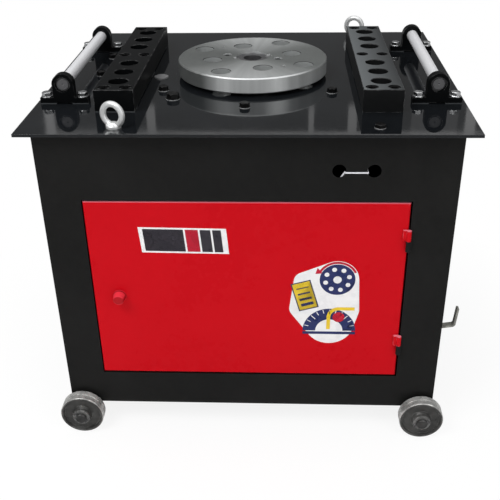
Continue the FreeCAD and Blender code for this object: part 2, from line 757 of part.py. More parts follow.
def oil_filler_plug():
    place = V(PLUG_X, PLUG_Y, TABLE_TOP)
    head = Part.makeCone(PLUG_RADIUS, PLUG_RADIUS - PLUG_BEVEL, PLUG_HEIGHT, place, UP)
    return fused([head, post(PLUG_STEM_RADIUS, PLUG_X, PLUG_Y, COVER_LOW, TABLE_TOP)])


def eye_bolt(x, y):
    """Lifting eye: a ring that grows out of a round collar, on a threaded shank."""
    wire_centre = EYE_OUTER_RADIUS - EYE_WIRE_RADIUS
    middle = V(x, y, TABLE_TOP + EYE_CENTRE_HEIGHT)
    across = V(*polar(1.0, EYE_TURN + 90.0), 0)
    ring = Part.makeTorus(wire_centre, EYE_WIRE_RADIUS, middle, across)
    ring = ring.common(post(2 * EYE_OUTER_RADIUS, x, y, TABLE_TOP, TABLE_TOP + 3 * EYE_OUTER_RADIUS))
    foot_top = EYE_CENTRE_HEIGHT - wire_centre + EYE_WIRE_RADIUS / 2
    foot = Part.makeCone(EYE_COLLAR_RADIUS, EYE_WIRE_RADIUS, foot_top, V(x, y, TABLE_TOP), UP)
    plinth = post(EYE_COLLAR_RADIUS, x, y, TABLE_TOP, TABLE_TOP + EYE_COLLAR_HEIGHT)
    shank = post(EYE_SHANK_RADIUS, x, y, TABLE_TOP - LIFT_SHANK_LENGTH, TABLE_TOP)
    return fused([ring, foot, plinth, shank])


def corner_screws():
    socket = (SOCKET_FLATS, SOCKET_DEPTH)
    radii = (CORNER_SCREW_RADIUS, CORNER_SCREW_SHANK_RADIUS)
    top = TABLE_TOP + CORNER_SCREW_HEIGHT
    low = TABLE_TOP - LIFT_SHANK_LENGTH
    return [
        socket_screw(x, y, top, radii, CORNER_SCREW_HEIGHT, low, socket)
        for x, y in corner_screw_places()
    ]


# Working disc and spindle
def key_block(side, low, high):
    """Upright key on the spindle's side, in line with the disc's hole grid."""
    reach = (side * KEY_ROOT, side * KEY_REACH)
    key = block(reach, around(0, KEY_WIDTH), (low, high))
    key.rotate(V(0, 0, 0), UP, DISC_TURN)
    return key


def disc_keys():
    return [key_block(side, DISC_LOW + KEY_BOTTOM, SPINDLE_TOP) for side in (-1, 1)]


def working_disc():
    disc = turned([
        (SPINDLE_TOP_RADIUS, DISC_LOW),
        (DISC_RADIUS - DISC_CHAMFER, DISC_LOW),
        (DISC_RADIUS, DISC_LOW + DISC_CHAMFER),
        (DISC_RADIUS, DISC_TOP - DISC_CHAMFER),
        (DISC_RADIUS - DISC_CHAMFER, DISC_TOP),
        (SPINDLE_TOP_RADIUS, DISC_TOP),
    ], 0, 0)
    cuts = [pin_hole(x, y, DISC_LOW, DISC_TOP) for x, y in disc_hole_places()]
    cuts += [key_block(side, DISC_LOW + KEY_BOTTOM, DISC_TOP) for side in (-1, 1)]
    for x, y in disc_screw_places():
        cuts.append(post(DISC_SCREW_RADIUS, x, y, DISC_LOW, DISC_TOP))
        cuts.append(post(DISC_SCREW_BORE_RADIUS, x, y, DISC_SCREW_TOP - DISC_SCREW_HEAD_HEIGHT, DISC_TOP))
    jack_low = DISC_TOP - JACK_HOLE_DEPTH
    cuts += [post(JACK_HOLE_RADIUS, x, y, jack_low, DISC_TOP) for x, y in jack_hole_places()]
    return disc.cut(cuts)


def disc_screws():
    radii = (DISC_SCREW_HEAD_RADIUS, DISC_SCREW_RADIUS)
    socket = (DISC_SCREW_SOCKET, DISC_SCREW_SOCKET_DEPTH)
    return [
        socket_screw(x, y, DISC_SCREW_TOP, radii, DISC_SCREW_HEAD_HEIGHT, FLANGE_LOW, socket)
        for x, y in disc_screw_places()
    ]


def spindle():
    low = CASE_FLOOR_TOP - SPINDLE_BEARING[1] + SHAFT_END_GAP
    bore_floor = SPINDLE_TOP - CENTRE_BORE_DEPTH
    shaft = turned([
        (0, low),
        (SPINDLE_JOURNAL_RADIUS, low),
        (SPINDLE_JOURNAL_RADIUS, BEARING_ROOF),
        (SPINDLE_COLLAR_RADIUS, BEARING_ROOF),
        (SPINDLE_COLLAR_RADIUS, FLANGE_LOW),
        (SPINDLE_FLANGE_RADIUS, FLANGE_LOW),
        (SPINDLE_FLANGE_RADIUS, DISC_LOW),
        (SPINDLE_TOP_RADIUS, DISC_LOW),
        (SPINDLE_TOP_RADIUS, SPINDLE_TOP),
        (PIN_HOLE_RADIUS, SPINDLE_TOP),
        (PIN_HOLE_RADIUS, bore_floor),
        (0, bore_floor),
    ], 0, 0)
    cuts = [key_block(side, DISC_LOW + KEY_BOTTOM, SPINDLE_TOP) for side in (-1, 1)]
    cuts += [post(DISC_SCREW_RADIUS, x, y, FLANGE_LOW, DISC_LOW) for x, y in disc_screw_places()]
    return shaft.cut(cuts)


# Gear train
def webbed_gear(module, teeth, place, heights, phase, hub_radius, bore):
    """Gear with a ring recessed into each face between its hub and its rim."""
    x, y = place
    low, high = heights
    rim_inner = module * teeth / 2 - 1.25 * module - WEB_RIM
    body = gear(module, teeth, x, y, low, high, phase, 2)
    cuts = [post(bore, x, y, low, high)]
    cuts.append(collar(rim_inner, hub_radius, x, y, low, low + WEB_RECESS))
    cuts.append(collar(rim_inner, hub_radius, x, y, high - WEB_RECESS, high))
    return body.cut(cuts)


def output_gear():
    heights = (OUTPUT_GEAR_LOW, OUTPUT_GEAR_LOW + OUTPUT_GEAR_WIDTH)
    return webbed_gear(
        OUTPUT_MODULE, OUTPUT_TEETH, (0.0, 0.0), heights, 90.0, OUTPUT_HUB_RADIUS,
        SPINDLE_JOURNAL_RADIUS)


def intermediate_gear():
    heights = (INPUT_GEAR_LOW, INPUT_GEAR_LOW + INPUT_GEAR_WIDTH)
    return webbed_gear(
        INPUT_MODULE, INPUT_GEAR_TEETH, (0.0, INTERMEDIATE_Y), heights, 180.0,
        INTERMEDIATE_HUB_RADIUS, INTERMEDIATE_SHAFT_RADIUS)


def intermediate_shaft():
    """Shaft with the output pinion cut on it, between its two journals."""
    x, y = 0.0, INTERMEDIATE_Y
    low = CASE_FLOOR_TOP - INTERMEDIATE_BEARING[1] + SHAFT_END_GAP
    high = BEARING_ROOF - SHAFT_END_GAP
    shoulder_high = BEARING_ROOF - INTERMEDIATE_BEARING[1] - SHAFT_END_GAP
    phase = 90.0 + 180.0 + 180.0 / OUTPUT_PINION_TEETH
    pinion_low = OUTPUT_GEAR_LOW - PINION_EXTRA
    pinion_high = OUTPUT_GEAR_LOW + OUTPUT_GEAR_WIDTH + PINION_EXTRA
    return fused([
        post(INTERMEDIATE_JOURNAL_RADIUS, x, y, low, high),
        post(INTERMEDIATE_SHAFT_RADIUS, x, y, CASE_FLOOR_TOP + SHAFT_END_GAP, shoulder_high),
        gear(OUTPUT_MODULE, OUTPUT_PINION_TEETH, x, y, pinion_low, pinion_high, phase, 3),
    ])


def input_shaft():
    """Shaft with the input pinion cut on it, which carries the large pulley below the case."""
    x, y = INPUT_X, INPUT_Y
    high = BEARING_ROOF - SHAFT_END_GAP
    shoulder_high = BEARING_ROOF - INPUT_BEARING[1] - SHAFT_END_GAP
    journal_low = CASE_FLOOR_TOP - INPUT_BEARING[1]
    phase = 180.0 + 180.0 + 180.0 / INPUT_PINION_TEETH
    pinion_low = INPUT_GEAR_LOW - PINION_EXTRA
    pinion_high = INPUT_GEAR_LOW + INPUT_GEAR_WIDTH + PINION_EXTRA
    return fused([
        post(INPUT_END_RADIUS, x, y, BELT_LEVEL - PULLEY_WIDTH / 2, journal_low),
        post(INPUT_JOURNAL_RADIUS, x, y, journal_low, high),
        post(INPUT_SHAFT_RADIUS, x, y, CASE_FLOOR_TOP + SHAFT_END_GAP, shoulder_high),
        gear(INPUT_MODULE, INPUT_PINION_TEETH, x, y, pinion_low, pinion_high, phase, 3),
    ])


def shaft_bearings():
    """Upper and lower bearing ring of each of the three shafts."""
    rings = []
    shafts = (
        (0.0, 0.0, SPINDLE_BEARING, SPINDLE_JOURNAL_RADIUS),
        (0.0, INTERMEDIATE_Y, INTERMEDIATE_BEARING, INTERMEDIATE_JOURNAL_RADIUS),
        (INPUT_X, INPUT_Y, INPUT_BEARING, INPUT_JOURNAL_RADIUS),
    )
    for x, y, (outer, width), journal in shafts:
        bore = journal + RUNNING_GAP
        rings.append(collar(outer, bore, x, y, BEARING_ROOF - width, BEARING_ROOF))
        rings.append(collar(outer, bore, x, y, CASE_FLOOR_TOP - width, CASE_FLOOR_TOP))
    return rings


# Gearbox case and cover
def case_circles(extra):
    """Circles that the case is wrapped round, grown by an extra width."""
    spindle_ring = OUTPUT_TIP_RADIUS + CASE_GEAR_GAP + CASE_WALL
    gear_ring = INPUT_GEAR_TIP_RADIUS + CASE_GEAR_GAP + CASE_WALL
    return [
        (0.0, 0.0, spindle_ring + extra),
        (0.0, INTERMEDIATE_Y, gear_ring + extra),
        (INPUT_X, INPUT_Y, CASE_INPUT_RADIUS + extra),
        (PLUG_X, PLUG_Y, FILLER_BAY_RADIUS + min(extra, 0.0)),
    ]


def between_bars(low, high):
    """Space under the table between the backing strips of the two hole bars."""
    side = BAR_INNER_X - COVER_SIDE_GAP
    return block((-side, side), around(0, TABLE_DEPTH), (low, high))


def bearing_seats():
    """Place, bearing size and seat of each shaft."""
    return (
        (0.0, 0.0, SPINDLE_BEARING),
        (0.0, INTERMEDIATE_Y, INTERMEDIATE_BEARING),
        (INPUT_X, INPUT_Y, INPUT_BEARING),
    )


def gearbox_cover():
    flange = hull(case_circles(CASE_FLANGE_WIDTH), COVER_LOW, TABLE_BOTTOM)
    pieces = [
        flange,
        post(COVER_RADIUS, 0, 0, COVER_LOW, TABLE_BOTTOM),
        post(COVER_LOBE_RADIUS, *LARGE_BOLT, COVER_LOW, TABLE_BOTTOM),
    ]
    plate = fused(pieces).common(between_bars(COVER_LOW, TABLE_BOTTOM))
    bosses = [
        post(outer + BEARING_WALL, x, y, COVER_BOSS_LOW, COVER_LOW)
        for x, y, (outer, width) in bearing_seats()
    ]
    pilot = post(COVER_PILOT_RADIUS, 0, 0, TABLE_BOTTOM, TABLE_BOTTOM + COVER_PILOT_RISE)
    cuts = [
        post(outer, x, y, COVER_BOSS_LOW, BEARING_ROOF)
        for x, y, (outer, width) in bearing_seats()
    ]
    cuts.append(post(SPINDLE_COLLAR_RADIUS + SEAL_GAP, 0, 0, BEARING_ROOF, TABLE_TOP))
    bolt_floor = TABLE_BOTTOM - GEARBOX_BOLT_DEPTH
    cuts += [post(HEX_M12[2], x, y, bolt_floor, TABLE_BOTTOM) for x, y in GEARBOX_BOLTS]
    cuts.append(post(HEX_M16[2], *LARGE_BOLT, bolt_floor, TABLE_BOTTOM))
    case_bolt_roof = COVER_LOW + CASE_BOLT_DEPTH
    cuts += [post(HEX_M8[2], x, y, COVER_LOW, case_bolt_roof) for x, y in case_bolt_places()]
    cuts.append(post(PLUG_STEM_RADIUS, PLUG_X, PLUG_Y, COVER_LOW, TABLE_BOTTOM))
    return fused([plate, pilot] + bosses).cut(cuts)


def gearbox_case():
    """Open-topped case, hung from the cover by its flange."""
    floor = CASE_FLOOR_TOP - CASE_FLOOR_THICK
    flange_low = COVER_LOW - CASE_FLANGE_THICK
    body = hull(case_circles(0.0), floor, COVER_LOW)
    flange = hull(case_circles(CASE_FLANGE_WIDTH), flange_low, COVER_LOW)
    bosses = [
        post(outer + BEARING_WALL, x, y, CASE_BOSS_BOTTOM, floor)
        for x, y, (outer, width) in bearing_seats()
    ]
    shell = fused([body, flange.common(between_bars(flange_low, COVER_LOW))] + bosses)
    cuts = [hull(case_circles(-CASE_WALL), CASE_FLOOR_TOP, COVER_LOW)]
    cuts += [
        post(outer, x, y, CASE_FLOOR_TOP - width, CASE_FLOOR_TOP)
        for x, y, (outer, width) in bearing_seats()
    ]
    cuts.append(post(INPUT_END_RADIUS + SEAL_GAP, INPUT_X, INPUT_Y, CASE_BOSS_BOTTOM, CASE_FLOOR_TOP))
    cuts += [
        post(HEX_M8[2] + HOLE_GAP, x, y, flange_low, COVER_LOW)
        for x, y in case_bolt_places()
    ]
    return shell.cut(cuts)


def gearbox_case_bolts():
    """Bolts that come up through the case flange into the cover."""
    flats, head, shank = HEX_M8[:3]
    flange_low = COVER_LOW - CASE_FLANGE_THICK
    return [
        fused([
            hexagon(flats, x, y, flange_low - head, flange_low),
            post(shank, x, y, flange_low, COVER_LOW + CASE_BOLT_DEPTH),
        ])
        for x, y in case_bolt_places()
    ]


# Belt drive
def belt_levels():
    return (BELT_LEVEL - BELT_SPACING / 2, BELT_LEVEL + BELT_SPACING / 2)


def pulley_profile(pitch_radius, inner_radius):
    """Half section of a pulley rim with a V-groove for each belt, as (radius, height) points."""
    low = BELT_LEVEL - PULLEY_WIDTH / 2
    high = BELT_LEVEL + PULLEY_WIDTH / 2
    rim = pitch_radius + BELT_ABOVE_PITCH
    flare = (BELT_TOP_WIDTH - BELT_BOTTOM_WIDTH) / 2 / BELT_HEIGHT
    depth = BELT_HEIGHT + GROOVE_EXTRA_DEPTH
    mouth = BELT_TOP_WIDTH / 2 + BELT_GAP
    floor = mouth - flare * depth
    points = [(inner_radius, low), (rim, low)]
    for level in belt_levels():
        points += [
            (rim, level - mouth), (rim - depth, level - floor),
            (rim - depth, level + floor), (rim, level + mouth),
        ]
    return points + [(rim, high), (inner_radius, high)]


def input_pulley():
    rim = turned(pulley_profile(INPUT_PULLEY_PITCH_RADIUS, INPUT_END_RADIUS), INPUT_X, INPUT_Y)
    web_outer = INPUT_PULLEY_PITCH_RADIUS - PULLEY_RIM
    low = BELT_LEVEL - PULLEY_WIDTH / 2
    high = BELT_LEVEL + PULLEY_WIDTH / 2
    return rim.cut([
        collar(web_outer, PULLEY_HUB_RADIUS, INPUT_X, INPUT_Y, low, BELT_LEVEL - PULLEY_WEB / 2),
        collar(web_outer, PULLEY_HUB_RADIUS, INPUT_X, INPUT_Y, BELT_LEVEL + PULLEY_WEB / 2, high),
    ])


def motor_pulley():
    profile = pulley_profile(MOTOR_PULLEY_PITCH_RADIUS, MOTOR_SHAFT_RADIUS)
    return turned(profile, MOTOR_X, MOTOR_Y)


def belt_path(level):
    """Closed path of a belt's pitch line round both pulleys."""
    big = INPUT_PULLEY_PITCH_RADIUS
    small = MOTOR_PULLEY_PITCH_RADIUS
    span = math.hypot(MOTOR_X - INPUT_X, MOTOR_Y - INPUT_Y)
    aim = math.degrees(math.atan2(MOTOR_Y - INPUT_Y, MOTOR_X - INPUT_X))
    lean = math.degrees(math.acos((big - small) / span))

    def at(radius, angle, x, y):
        return V(*polar(radius, angle, x, y), level)

    big_start = at(big, aim + lean, INPUT_X, INPUT_Y)
    big_middle = at(big, aim + 180, INPUT_X, INPUT_Y)
    big_end = at(big, aim - lean, INPUT_X, INPUT_Y)
    small_start = at(small, aim - lean, MOTOR_X, MOTOR_Y)
    small_middle = at(small, aim, MOTOR_X, MOTOR_Y)
    small_end = at(small, aim + lean, MOTOR_X, MOTOR_Y)
    return big_start, Part.Wire([
        Part.Arc(big_start, big_middle, big_end).toShape(),
        Part.makeLine(big_end, small_start),
        Part.Arc(small_start, small_middle, small_end).toShape(),
        Part.makeLine(small_end, big_start),
    ])


def v_belts():
    """Two closed V-belts, each swept round both pulleys."""
    belts = []
    for level in belt_levels():
        start, path = belt_path(level)
        outward = start.sub(V(INPUT_X, INPUT_Y, level)).normalize()
        top = start + outward * (BELT_ABOVE_PITCH - BELT_GAP)
        bottom = start - outward * (BELT_HEIGHT - BELT_ABOVE_PITCH)
        corners = [
            top + UP * (BELT_TOP_WIDTH / 2 - BELT_GAP), top - UP * (BELT_TOP_WIDTH / 2 - BELT_GAP),
            bottom - UP * (BELT_BOTTOM_WIDTH / 2), bottom + UP * (BELT_BOTTOM_WIDTH / 2),
        ]
        section = Part.makePolygon(corners + [corners[0]])
        belts.append(path.makePipeShell([section], True, False))
    return belts


# Motor
def motor_housing():
    """Finned stator body with two end shields, a mounting pad and a terminal box."""
    pieces = [post(MOTOR_CORE_RADIUS, MOTOR_X, MOTOR_Y, MOTOR_LOW, MOTOR_HIGH)]
    for shield in (MOTOR_LOW - MOTOR_SHIELD_HEIGHT, MOTOR_HIGH):
        pieces.append(post(MOTOR_SHIELD_RADIUS, MOTOR_X, MOTOR_Y, shield, shield + MOTOR_SHIELD_HEIGHT))
    for i in range(MOTOR_FINS):
        fin = block(
            (MOTOR_CORE_RADIUS / 2, MOTOR_FIN_RADIUS), around(0, MOTOR_FIN_THICK),
            (MOTOR_LOW, MOTOR_HIGH))
        fin.rotate(V(0, 0, 0), UP, 360.0 * (i + 0.5) / MOTOR_FINS)
        fin.translate(V(MOTOR_X, MOTOR_Y, 0))
        pieces.append(fin)
    pad_x = (HANGER_OUTER_X + HANGER_THICK, MOTOR_X - MOTOR_CORE_RADIUS / 2)
    pieces.append(block(pad_x, around(MOTOR_Y, MOTOR_PAD_WIDTH), (MOTOR_PAD_LOW, MOTOR_PAD_HIGH)))
    box_x = (MOTOR_X, MOTOR_X + MOTOR_FIN_RADIUS + TERMINAL_BOX_REACH)
    box_y = around(MOTOR_Y, TERMINAL_BOX_WIDTH)
    pieces.append(block(box_x, box_y, (TERMINAL_BOX_LOW, TERMINAL_BOX_HIGH)))
    low = MOTOR_LOW - MOTOR_SHIELD_HEIGHT
    high = MOTOR_HIGH + MOTOR_SHIELD_HEIGHT
    cuts = [post(MOTOR_SHAFT_RADIUS + RUNNING_GAP, MOTOR_X, MOTOR_Y, low, high)]
    cuts += motor_bolt_holes(HEX_M10[2], 0.0)
    return fused(pieces).cut(cuts)


def motor_bolt_places():
    middle = (MOTOR_PAD_LOW + MOTOR_PAD_HIGH) / 2
    return [
        (MOTOR_Y + side * MOTOR_BOLT_SPREAD_Y, middle + end * MOTOR_BOLT_SPREAD_Z)
        for side in (-1, 1) for end in (-1, 1)
    ]


def motor_bolt_holes(radius, travel):
    """Cutters for the motor's four bolts, stretched along Y by the belt's tension travel."""
    start = HANGER_OUTER_X
    end = HANGER_OUTER_X + HANGER_THICK + MOTOR_BOLT_DEPTH
    cutters = []
    for y, z in motor_bolt_places():
        for shift in (-travel / 2, travel / 2):
            cutters.append(rod(radius, V(start, y + shift, z), V(end, y + shift, z)))
        if travel:
            cutters.append(block((start, end), around(y, travel), around(z, 2 * radius)))
    return cutters


def motor_bolts():
    """Four hex bolts that clamp the motor to the slotted hanger."""
    flats, head, shank, washer_radius, washer = HEX_M10
    bolts = []
    for y, z in motor_bolt_places():
        reach = HANGER_THICK + MOTOR_BOLT_DEPTH
        bolt = fused([
            hexagon(flats, 0, 0, -washer - head, -washer),
            post(shank, 0, 0, -washer, reach),
        ])
        ring = collar(washer_radius, shank, 0, 0, -washer, 0)
        for solid in (bolt, ring):
            solid.rotate(V(0, 0, 0), BACK, 90)
            solid.translate(V(HANGER_OUTER_X, y, z))
            bolts.append(solid)
    return bolts


def motor_hanger():
    """Bracket under the table: a foot, a slotted upright plate and two ribs."""
    inner = HANGER_OUTER_X + HANGER_THICK
    foot_x = (HANGER_OUTER_X, HANGER_OUTER_X + HANGER_FOOT_WIDTH)
    foot_low = TABLE_BOTTOM - HANGER_THICK
    foot = block(foot_x, (HANGER_FOOT_FRONT, HANGER_FOOT_BACK), (foot_low, TABLE_BOTTOM))
    outline = [
        (HANGER_FOOT_BACK, TABLE_BOTTOM),
        (HANGER_FOOT_FRONT, TABLE_BOTTOM),
        (HANGER_FRONT, HANGER_SHOULDER),
        (HANGER_FRONT, HANGER_LOW),
        (HANGER_FOOT_FRONT, HANGER_LOW),
        (HANGER_FOOT_BACK, HANGER_SHOULDER),
    ]
    upright = prism([V(HANGER_OUTER_X, y, z) for y, z in outline], V(HANGER_THICK, 0, 0))
    ribs = []
    for y in (HANGER_FOOT_FRONT, HANGER_FOOT_BACK - HANGER_RIB_THICK):
        corners = [
            V(inner, y, foot_low), V(foot_x[1], y, foot_low), V(inner, y, foot_low - HANGER_RIB_DROP),
        ]
        ribs.append(prism(corners, V(0, HANGER_RIB_THICK, 0)))
    cuts = motor_bolt_holes(HEX_M10[2] + HOLE_GAP, MOTOR_SLOT_TRAVEL)
    cuts += [post(HEX_M12[2], HANGER_BOLT_X, y, foot_low, TABLE_BOTTOM) for y in HANGER_BOLTS_Y]
    return fused([foot, upright] + ribs).cut(cuts)


def fan_limits():
    """Bottom of the fan cover and the heights of the fan's blades."""
    cover_low = MOTOR_LOW - MOTOR_SHIELD_HEIGHT - FAN_COVER_HEIGHT
    blade_low = cover_low + FAN_COVER_WALL + FAN_COVER_GAP
    return cover_low, blade_low, blade_low + FAN_BLADE_HEIGHT


def fan_cover():
    """Cup over the fan, with air holes in its floor."""
    cover_low = fan_limits()[0]
    rim = MOTOR_LOW - MOTOR_SHIELD_HEIGHT
    cup = post(MOTOR_SHIELD_RADIUS, MOTOR_X, MOTOR_Y, cover_low, rim)
    inside = post(
        MOTOR_SHIELD_RADIUS - FAN_COVER_WALL, MOTOR_X, MOTOR_Y, cover_low + FAN_COVER_WALL, rim)
    holes = [
        post(AIR_HOLE_RADIUS, *polar(AIR_HOLE_CIRCLE, 360.0 * i / AIR_HOLES, MOTOR_X, MOTOR_Y),
             cover_low, cover_low + FAN_COVER_WALL)
        for i in range(AIR_HOLES)
    ]
    return cup.cut([inside] + holes)


def motor_fan():
    blade_low, blade_high = fan_limits()[1:]
    pieces = [post(FAN_HUB_RADIUS, MOTOR_X, MOTOR_Y, blade_low, blade_high)]
    for i in range(FAN_BLADES):
        blade = block((FAN_HUB_RADIUS / 2, FAN_RADIUS), around(0, FAN_BLADE_THICK), (blade_low, blade_high))
        blade.rotate(V(0, 0, 0), UP, 360.0 * i / FAN_BLADES)
        blade.translate(V(MOTOR_X, MOTOR_Y, 0))
        pieces.append(blade)
    return fused(pieces).cut(post(MOTOR_SHAFT_RADIUS, MOTOR_X, MOTOR_Y, blade_low, blade_high))


def motor_shaft():
    blade_low = fan_limits()[1]
    return post(MOTOR_SHAFT_RADIUS, MOTOR_X, MOTOR_Y, blade_low, BELT_LEVEL + PULLEY_WIDTH / 2)


# Cabinet
def angle_bar(length, heel, leg_a, leg_b, along):
    """Angle iron from its outer corner, with two legs and a direction it runs along."""
    a = leg_a / leg_a.Length
    b = leg_b / leg_b.Length
    outline = [
        heel, heel + leg_a, heel + leg_a + b * ANGLE_THICK,
        heel + a * ANGLE_THICK + b * ANGLE_THICK,
        heel + leg_b + a * ANGLE_THICK, heel + leg_b,
    ]
    return prism(outline, along * length)


def cabinet_frame():
    """Four posts, a bottom ring and a top ring of angle iron, welded end to end."""
    bars = []
    leg_z = TABLE_BOTTOM - ANGLE_THICK
    bottom_z = PANEL_LOW
    for side in (-1, 1):
        for end in (-1, 1):
            heel = V(side * INNER_X, end * INNER_Y, bottom_z)
            legs = (V(-side * ANGLE_LEG, 0, 0), V(0, -end * ANGLE_LEG, 0))
            bars.append(angle_bar(leg_z - bottom_z, heel, *legs, UP))
    for end in (-1, 1):
        low = V(-INNER_X + ANGLE_LEG, end * INNER_Y, bottom_z)
        length = 2 * (INNER_X - ANGLE_LEG)
        legs = (V(0, -end * ANGLE_LEG, 0), V(0, 0, BOTTOM_RAIL_HEIGHT))
        bars.append(angle_bar(length, low, *legs, RIGHT))
        high = V(-INNER_X, end * (INNER_Y - ANGLE_LEG), TABLE_BOTTOM)
        legs = (V(0, end * ANGLE_LEG, 0), V(0, 0, -TOP_RAIL_DROP))
        rail = angle_bar(2 * INNER_X, high, *legs, RIGHT)
        corner_x = INNER_X - ANGLE_THICK
        for side in (-1, 1):
            notch_y = (end * (INNER_Y - ANGLE_LEG), end * INNER_Y)
            notch_x = (side * corner_x, side * INNER_X)
            rail = rail.cut(block(notch_x, notch_y, (leg_z, leg_z - TOP_RAIL_DROP)))
        holes = [post(radius, x, y, leg_z, TABLE_BOTTOM) for radius, x, y in lift_holes()]
        bars.append(rail.cut(holes))
    for side in (-1, 1):
        length = 2 * (INNER_Y - ANGLE_LEG)
        low = V(side * INNER_X, -INNER_Y + ANGLE_LEG, bottom_z)
        legs = (V(-side * ANGLE_LEG, 0, 0), V(0, 0, BOTTOM_RAIL_HEIGHT))
        bars.append(angle_bar(length, low, *legs, BACK))
        high = V(side * (INNER_X - ANGLE_LEG), -INNER_Y + ANGLE_LEG, TABLE_BOTTOM)
        legs = (V(side * ANGLE_LEG, 0, 0), V(0, 0, -TOP_RAIL_DROP))
        bars.append(angle_bar(length, high, *legs, BACK))
    return bars


def base_plate():
    return block(around(0, 2 * CABINET_X), around(0, 2 * CABINET_Y), (CABINET_BOTTOM, PANEL_LOW))


def front_panel():
    """Front sheet with the door opening, its folded return and the two cable holes."""
    sheet = block(around(0, 2 * CABINET_X), (-CABINET_Y, -INNER_Y), (PANEL_LOW, TABLE_BOTTOM))
    return_y = (-CABINET_Y, -CABINET_Y + RETURN_DEPTH)
    frame = block(
        (OPENING_LEFT - SHEET, OPENING_RIGHT + SHEET), return_y,
        (OPENING_LOW - SHEET, OPENING_HIGH + SHEET))
    opening = block((OPENING_LEFT, OPENING_RIGHT), return_y, (OPENING_LOW, OPENING_HIGH))
    holes = [
        rod(CABLE_HOLE_RADIUS, V(x, -CABINET_Y, CABLE_HOLE_Z), V(x, -INNER_Y, CABLE_HOLE_Z))
        for x in CABLE_HOLE_X
    ]
    return fused([sheet, frame]).cut([opening] + holes)


def side_panel(side):
    x = (side * INNER_X, side * CABINET_X)
    return block(x, around(0, 2 * INNER_Y), (PANEL_LOW, TABLE_BOTTOM))


def rear_panel():
    return block(around(0, 2 * CABINET_X), (INNER_Y, CABINET_Y), (PANEL_LOW, TABLE_BOTTOM))


def door():
    """Flush door: one sheet with its four edges folded back, and two hinge knuckles."""
    x = (OPENING_LEFT + DOOR_GAP_AT_LATCH, OPENING_RIGHT - DOOR_GAP)
    z = (OPENING_LOW + DOOR_GAP, OPENING_HIGH - DOOR_GAP)
    y = (-CABINET_Y, -CABINET_Y + RETURN_DEPTH)
    slab = block(x, y, z)
    front_edges = [edge for edge in slab.Edges if edge.BoundBox.YMax < -CABINET_Y + SHEET]
    slab = slab.makeFillet(DOOR_CORNER, front_edges)
    hollow = block(
        (x[0] + SHEET, x[1] - SHEET), (-CABINET_Y + SHEET, y[1]), (z[0] + SHEET, z[1] - SHEET))
    inner_edges = [edge for edge in hollow.Edges if edge.BoundBox.YMax < -CABINET_Y + 2 * SHEET]
    hollow = hollow.makeFillet(DOOR_CORNER - SHEET, inner_edges)
    stem_hole = rod(
        LATCH_STEM_RADIUS + RUNNING_GAP, V(KNOB_X, -CABINET_Y, KNOB_Z), V(KNOB_X, -INNER_Y, KNOB_Z))
    pieces = [slab.cut([hollow, stem_hole])]
    for level in HINGE_LEVELS:
        knuckle = post(HINGE_RADIUS, HINGE_X, HINGE_Y, level, level + HINGE_LENGTH)
        weld_end = HINGE_X - HINGE_WELD_START
        weld_x = (weld_end - HINGE_WELD_WIDTH - DOOR_CORNER, weld_end)
        weld = block(weld_x, (HINGE_Y, -CABINET_Y), (level, level + HINGE_LENGTH))
        bore = post(HINGE_PIN_RADIUS + RUNNING_GAP, HINGE_X, HINGE_Y, level, level + HINGE_LENGTH - HINGE_CAP)
        pieces.append(knuckle.fuse(weld).cut(bore))
    return fused(pieces)


def frame_hinges():
    """Lower hinge halves on the cabinet, each with its upright pin."""
    halves = []
    for level in HINGE_LEVELS:
        top = level - SEAL_GAP
        low = top - HINGE_LENGTH
        barrel = post(HINGE_RADIUS, HINGE_X, HINGE_Y, low, top)
        weld_x = (HINGE_X + HINGE_WELD_START, HINGE_X + HINGE_WELD_START + HINGE_WELD_WIDTH)
        weld = block(weld_x, (HINGE_Y, -CABINET_Y), (low, top))
        pin_top = level + HINGE_LENGTH - HINGE_CAP - SEAL_GAP
        pin = post(HINGE_PIN_RADIUS, HINGE_X, HINGE_Y, top, pin_top)
        halves.append(fused([barrel, weld, pin]))
    return halves


def door_knob():
    """Knob on its neck and flange, with the stem and the collar of the turn latch."""
    face = -CABINET_Y - SEAL_GAP
    front = -CABINET_Y - KNOB_LENGTH
    knob = rod(KNOB_RADIUS, V(KNOB_X, front, KNOB_Z), V(KNOB_X, face - KNOB_NECK_LENGTH, KNOB_Z))
    front_edge = [edge for edge in knob.Edges if edge.BoundBox.YMax < front + NEAR]
    knob = knob.makeChamfer(KNOB_CHAMFER, front_edge)
    neck = rod(KNOB_NECK_RADIUS, V(KNOB_X, face - KNOB_NECK_LENGTH, KNOB_Z), V(KNOB_X, face, KNOB_Z))
    flange = rod(KNOB_FLANGE_RADIUS, V(KNOB_X, face - KNOB_FLANGE_THICK, KNOB_Z), V(KNOB_X, face, KNOB_Z))
    cam_y = -CABINET_Y + RETURN_DEPTH + LATCH_GAP
    stem = rod(LATCH_STEM_RADIUS, V(KNOB_X, face, KNOB_Z), V(KNOB_X, cam_y + LATCH_CAM_THICK, KNOB_Z))
    ring = rod(LATCH_COLLAR_RADIUS, V(KNOB_X, -INNER_Y + SEAL_GAP, KNOB_Z), V(KNOB_X, cam_y, KNOB_Z))
    return fused([knob, neck, flange, stem, ring])


def latch_cam():
    """Tongue that hangs down and turns behind the opening's left return to lock the door."""
    cam_y = -CABINET_Y + RETURN_DEPTH + LATCH_GAP
    depth = (cam_y, cam_y + LATCH_CAM_THICK)
    arm = block(around(KNOB_X, LATCH_CAM_WIDTH), depth, (KNOB_Z - LATCH_CAM_REACH, KNOB_Z))
    head = rod(LATCH_CAM_WIDTH / 2, V(KNOB_X, depth[0], KNOB_Z), V(KNOB_X, depth[1], KNOB_Z))
    hole = rod(LATCH_STEM_RADIUS, V(KNOB_X, depth[0], KNOB_Z), V(KNOB_X, depth[1], KNOB_Z))
    return fused([arm, head]).cut(hole)


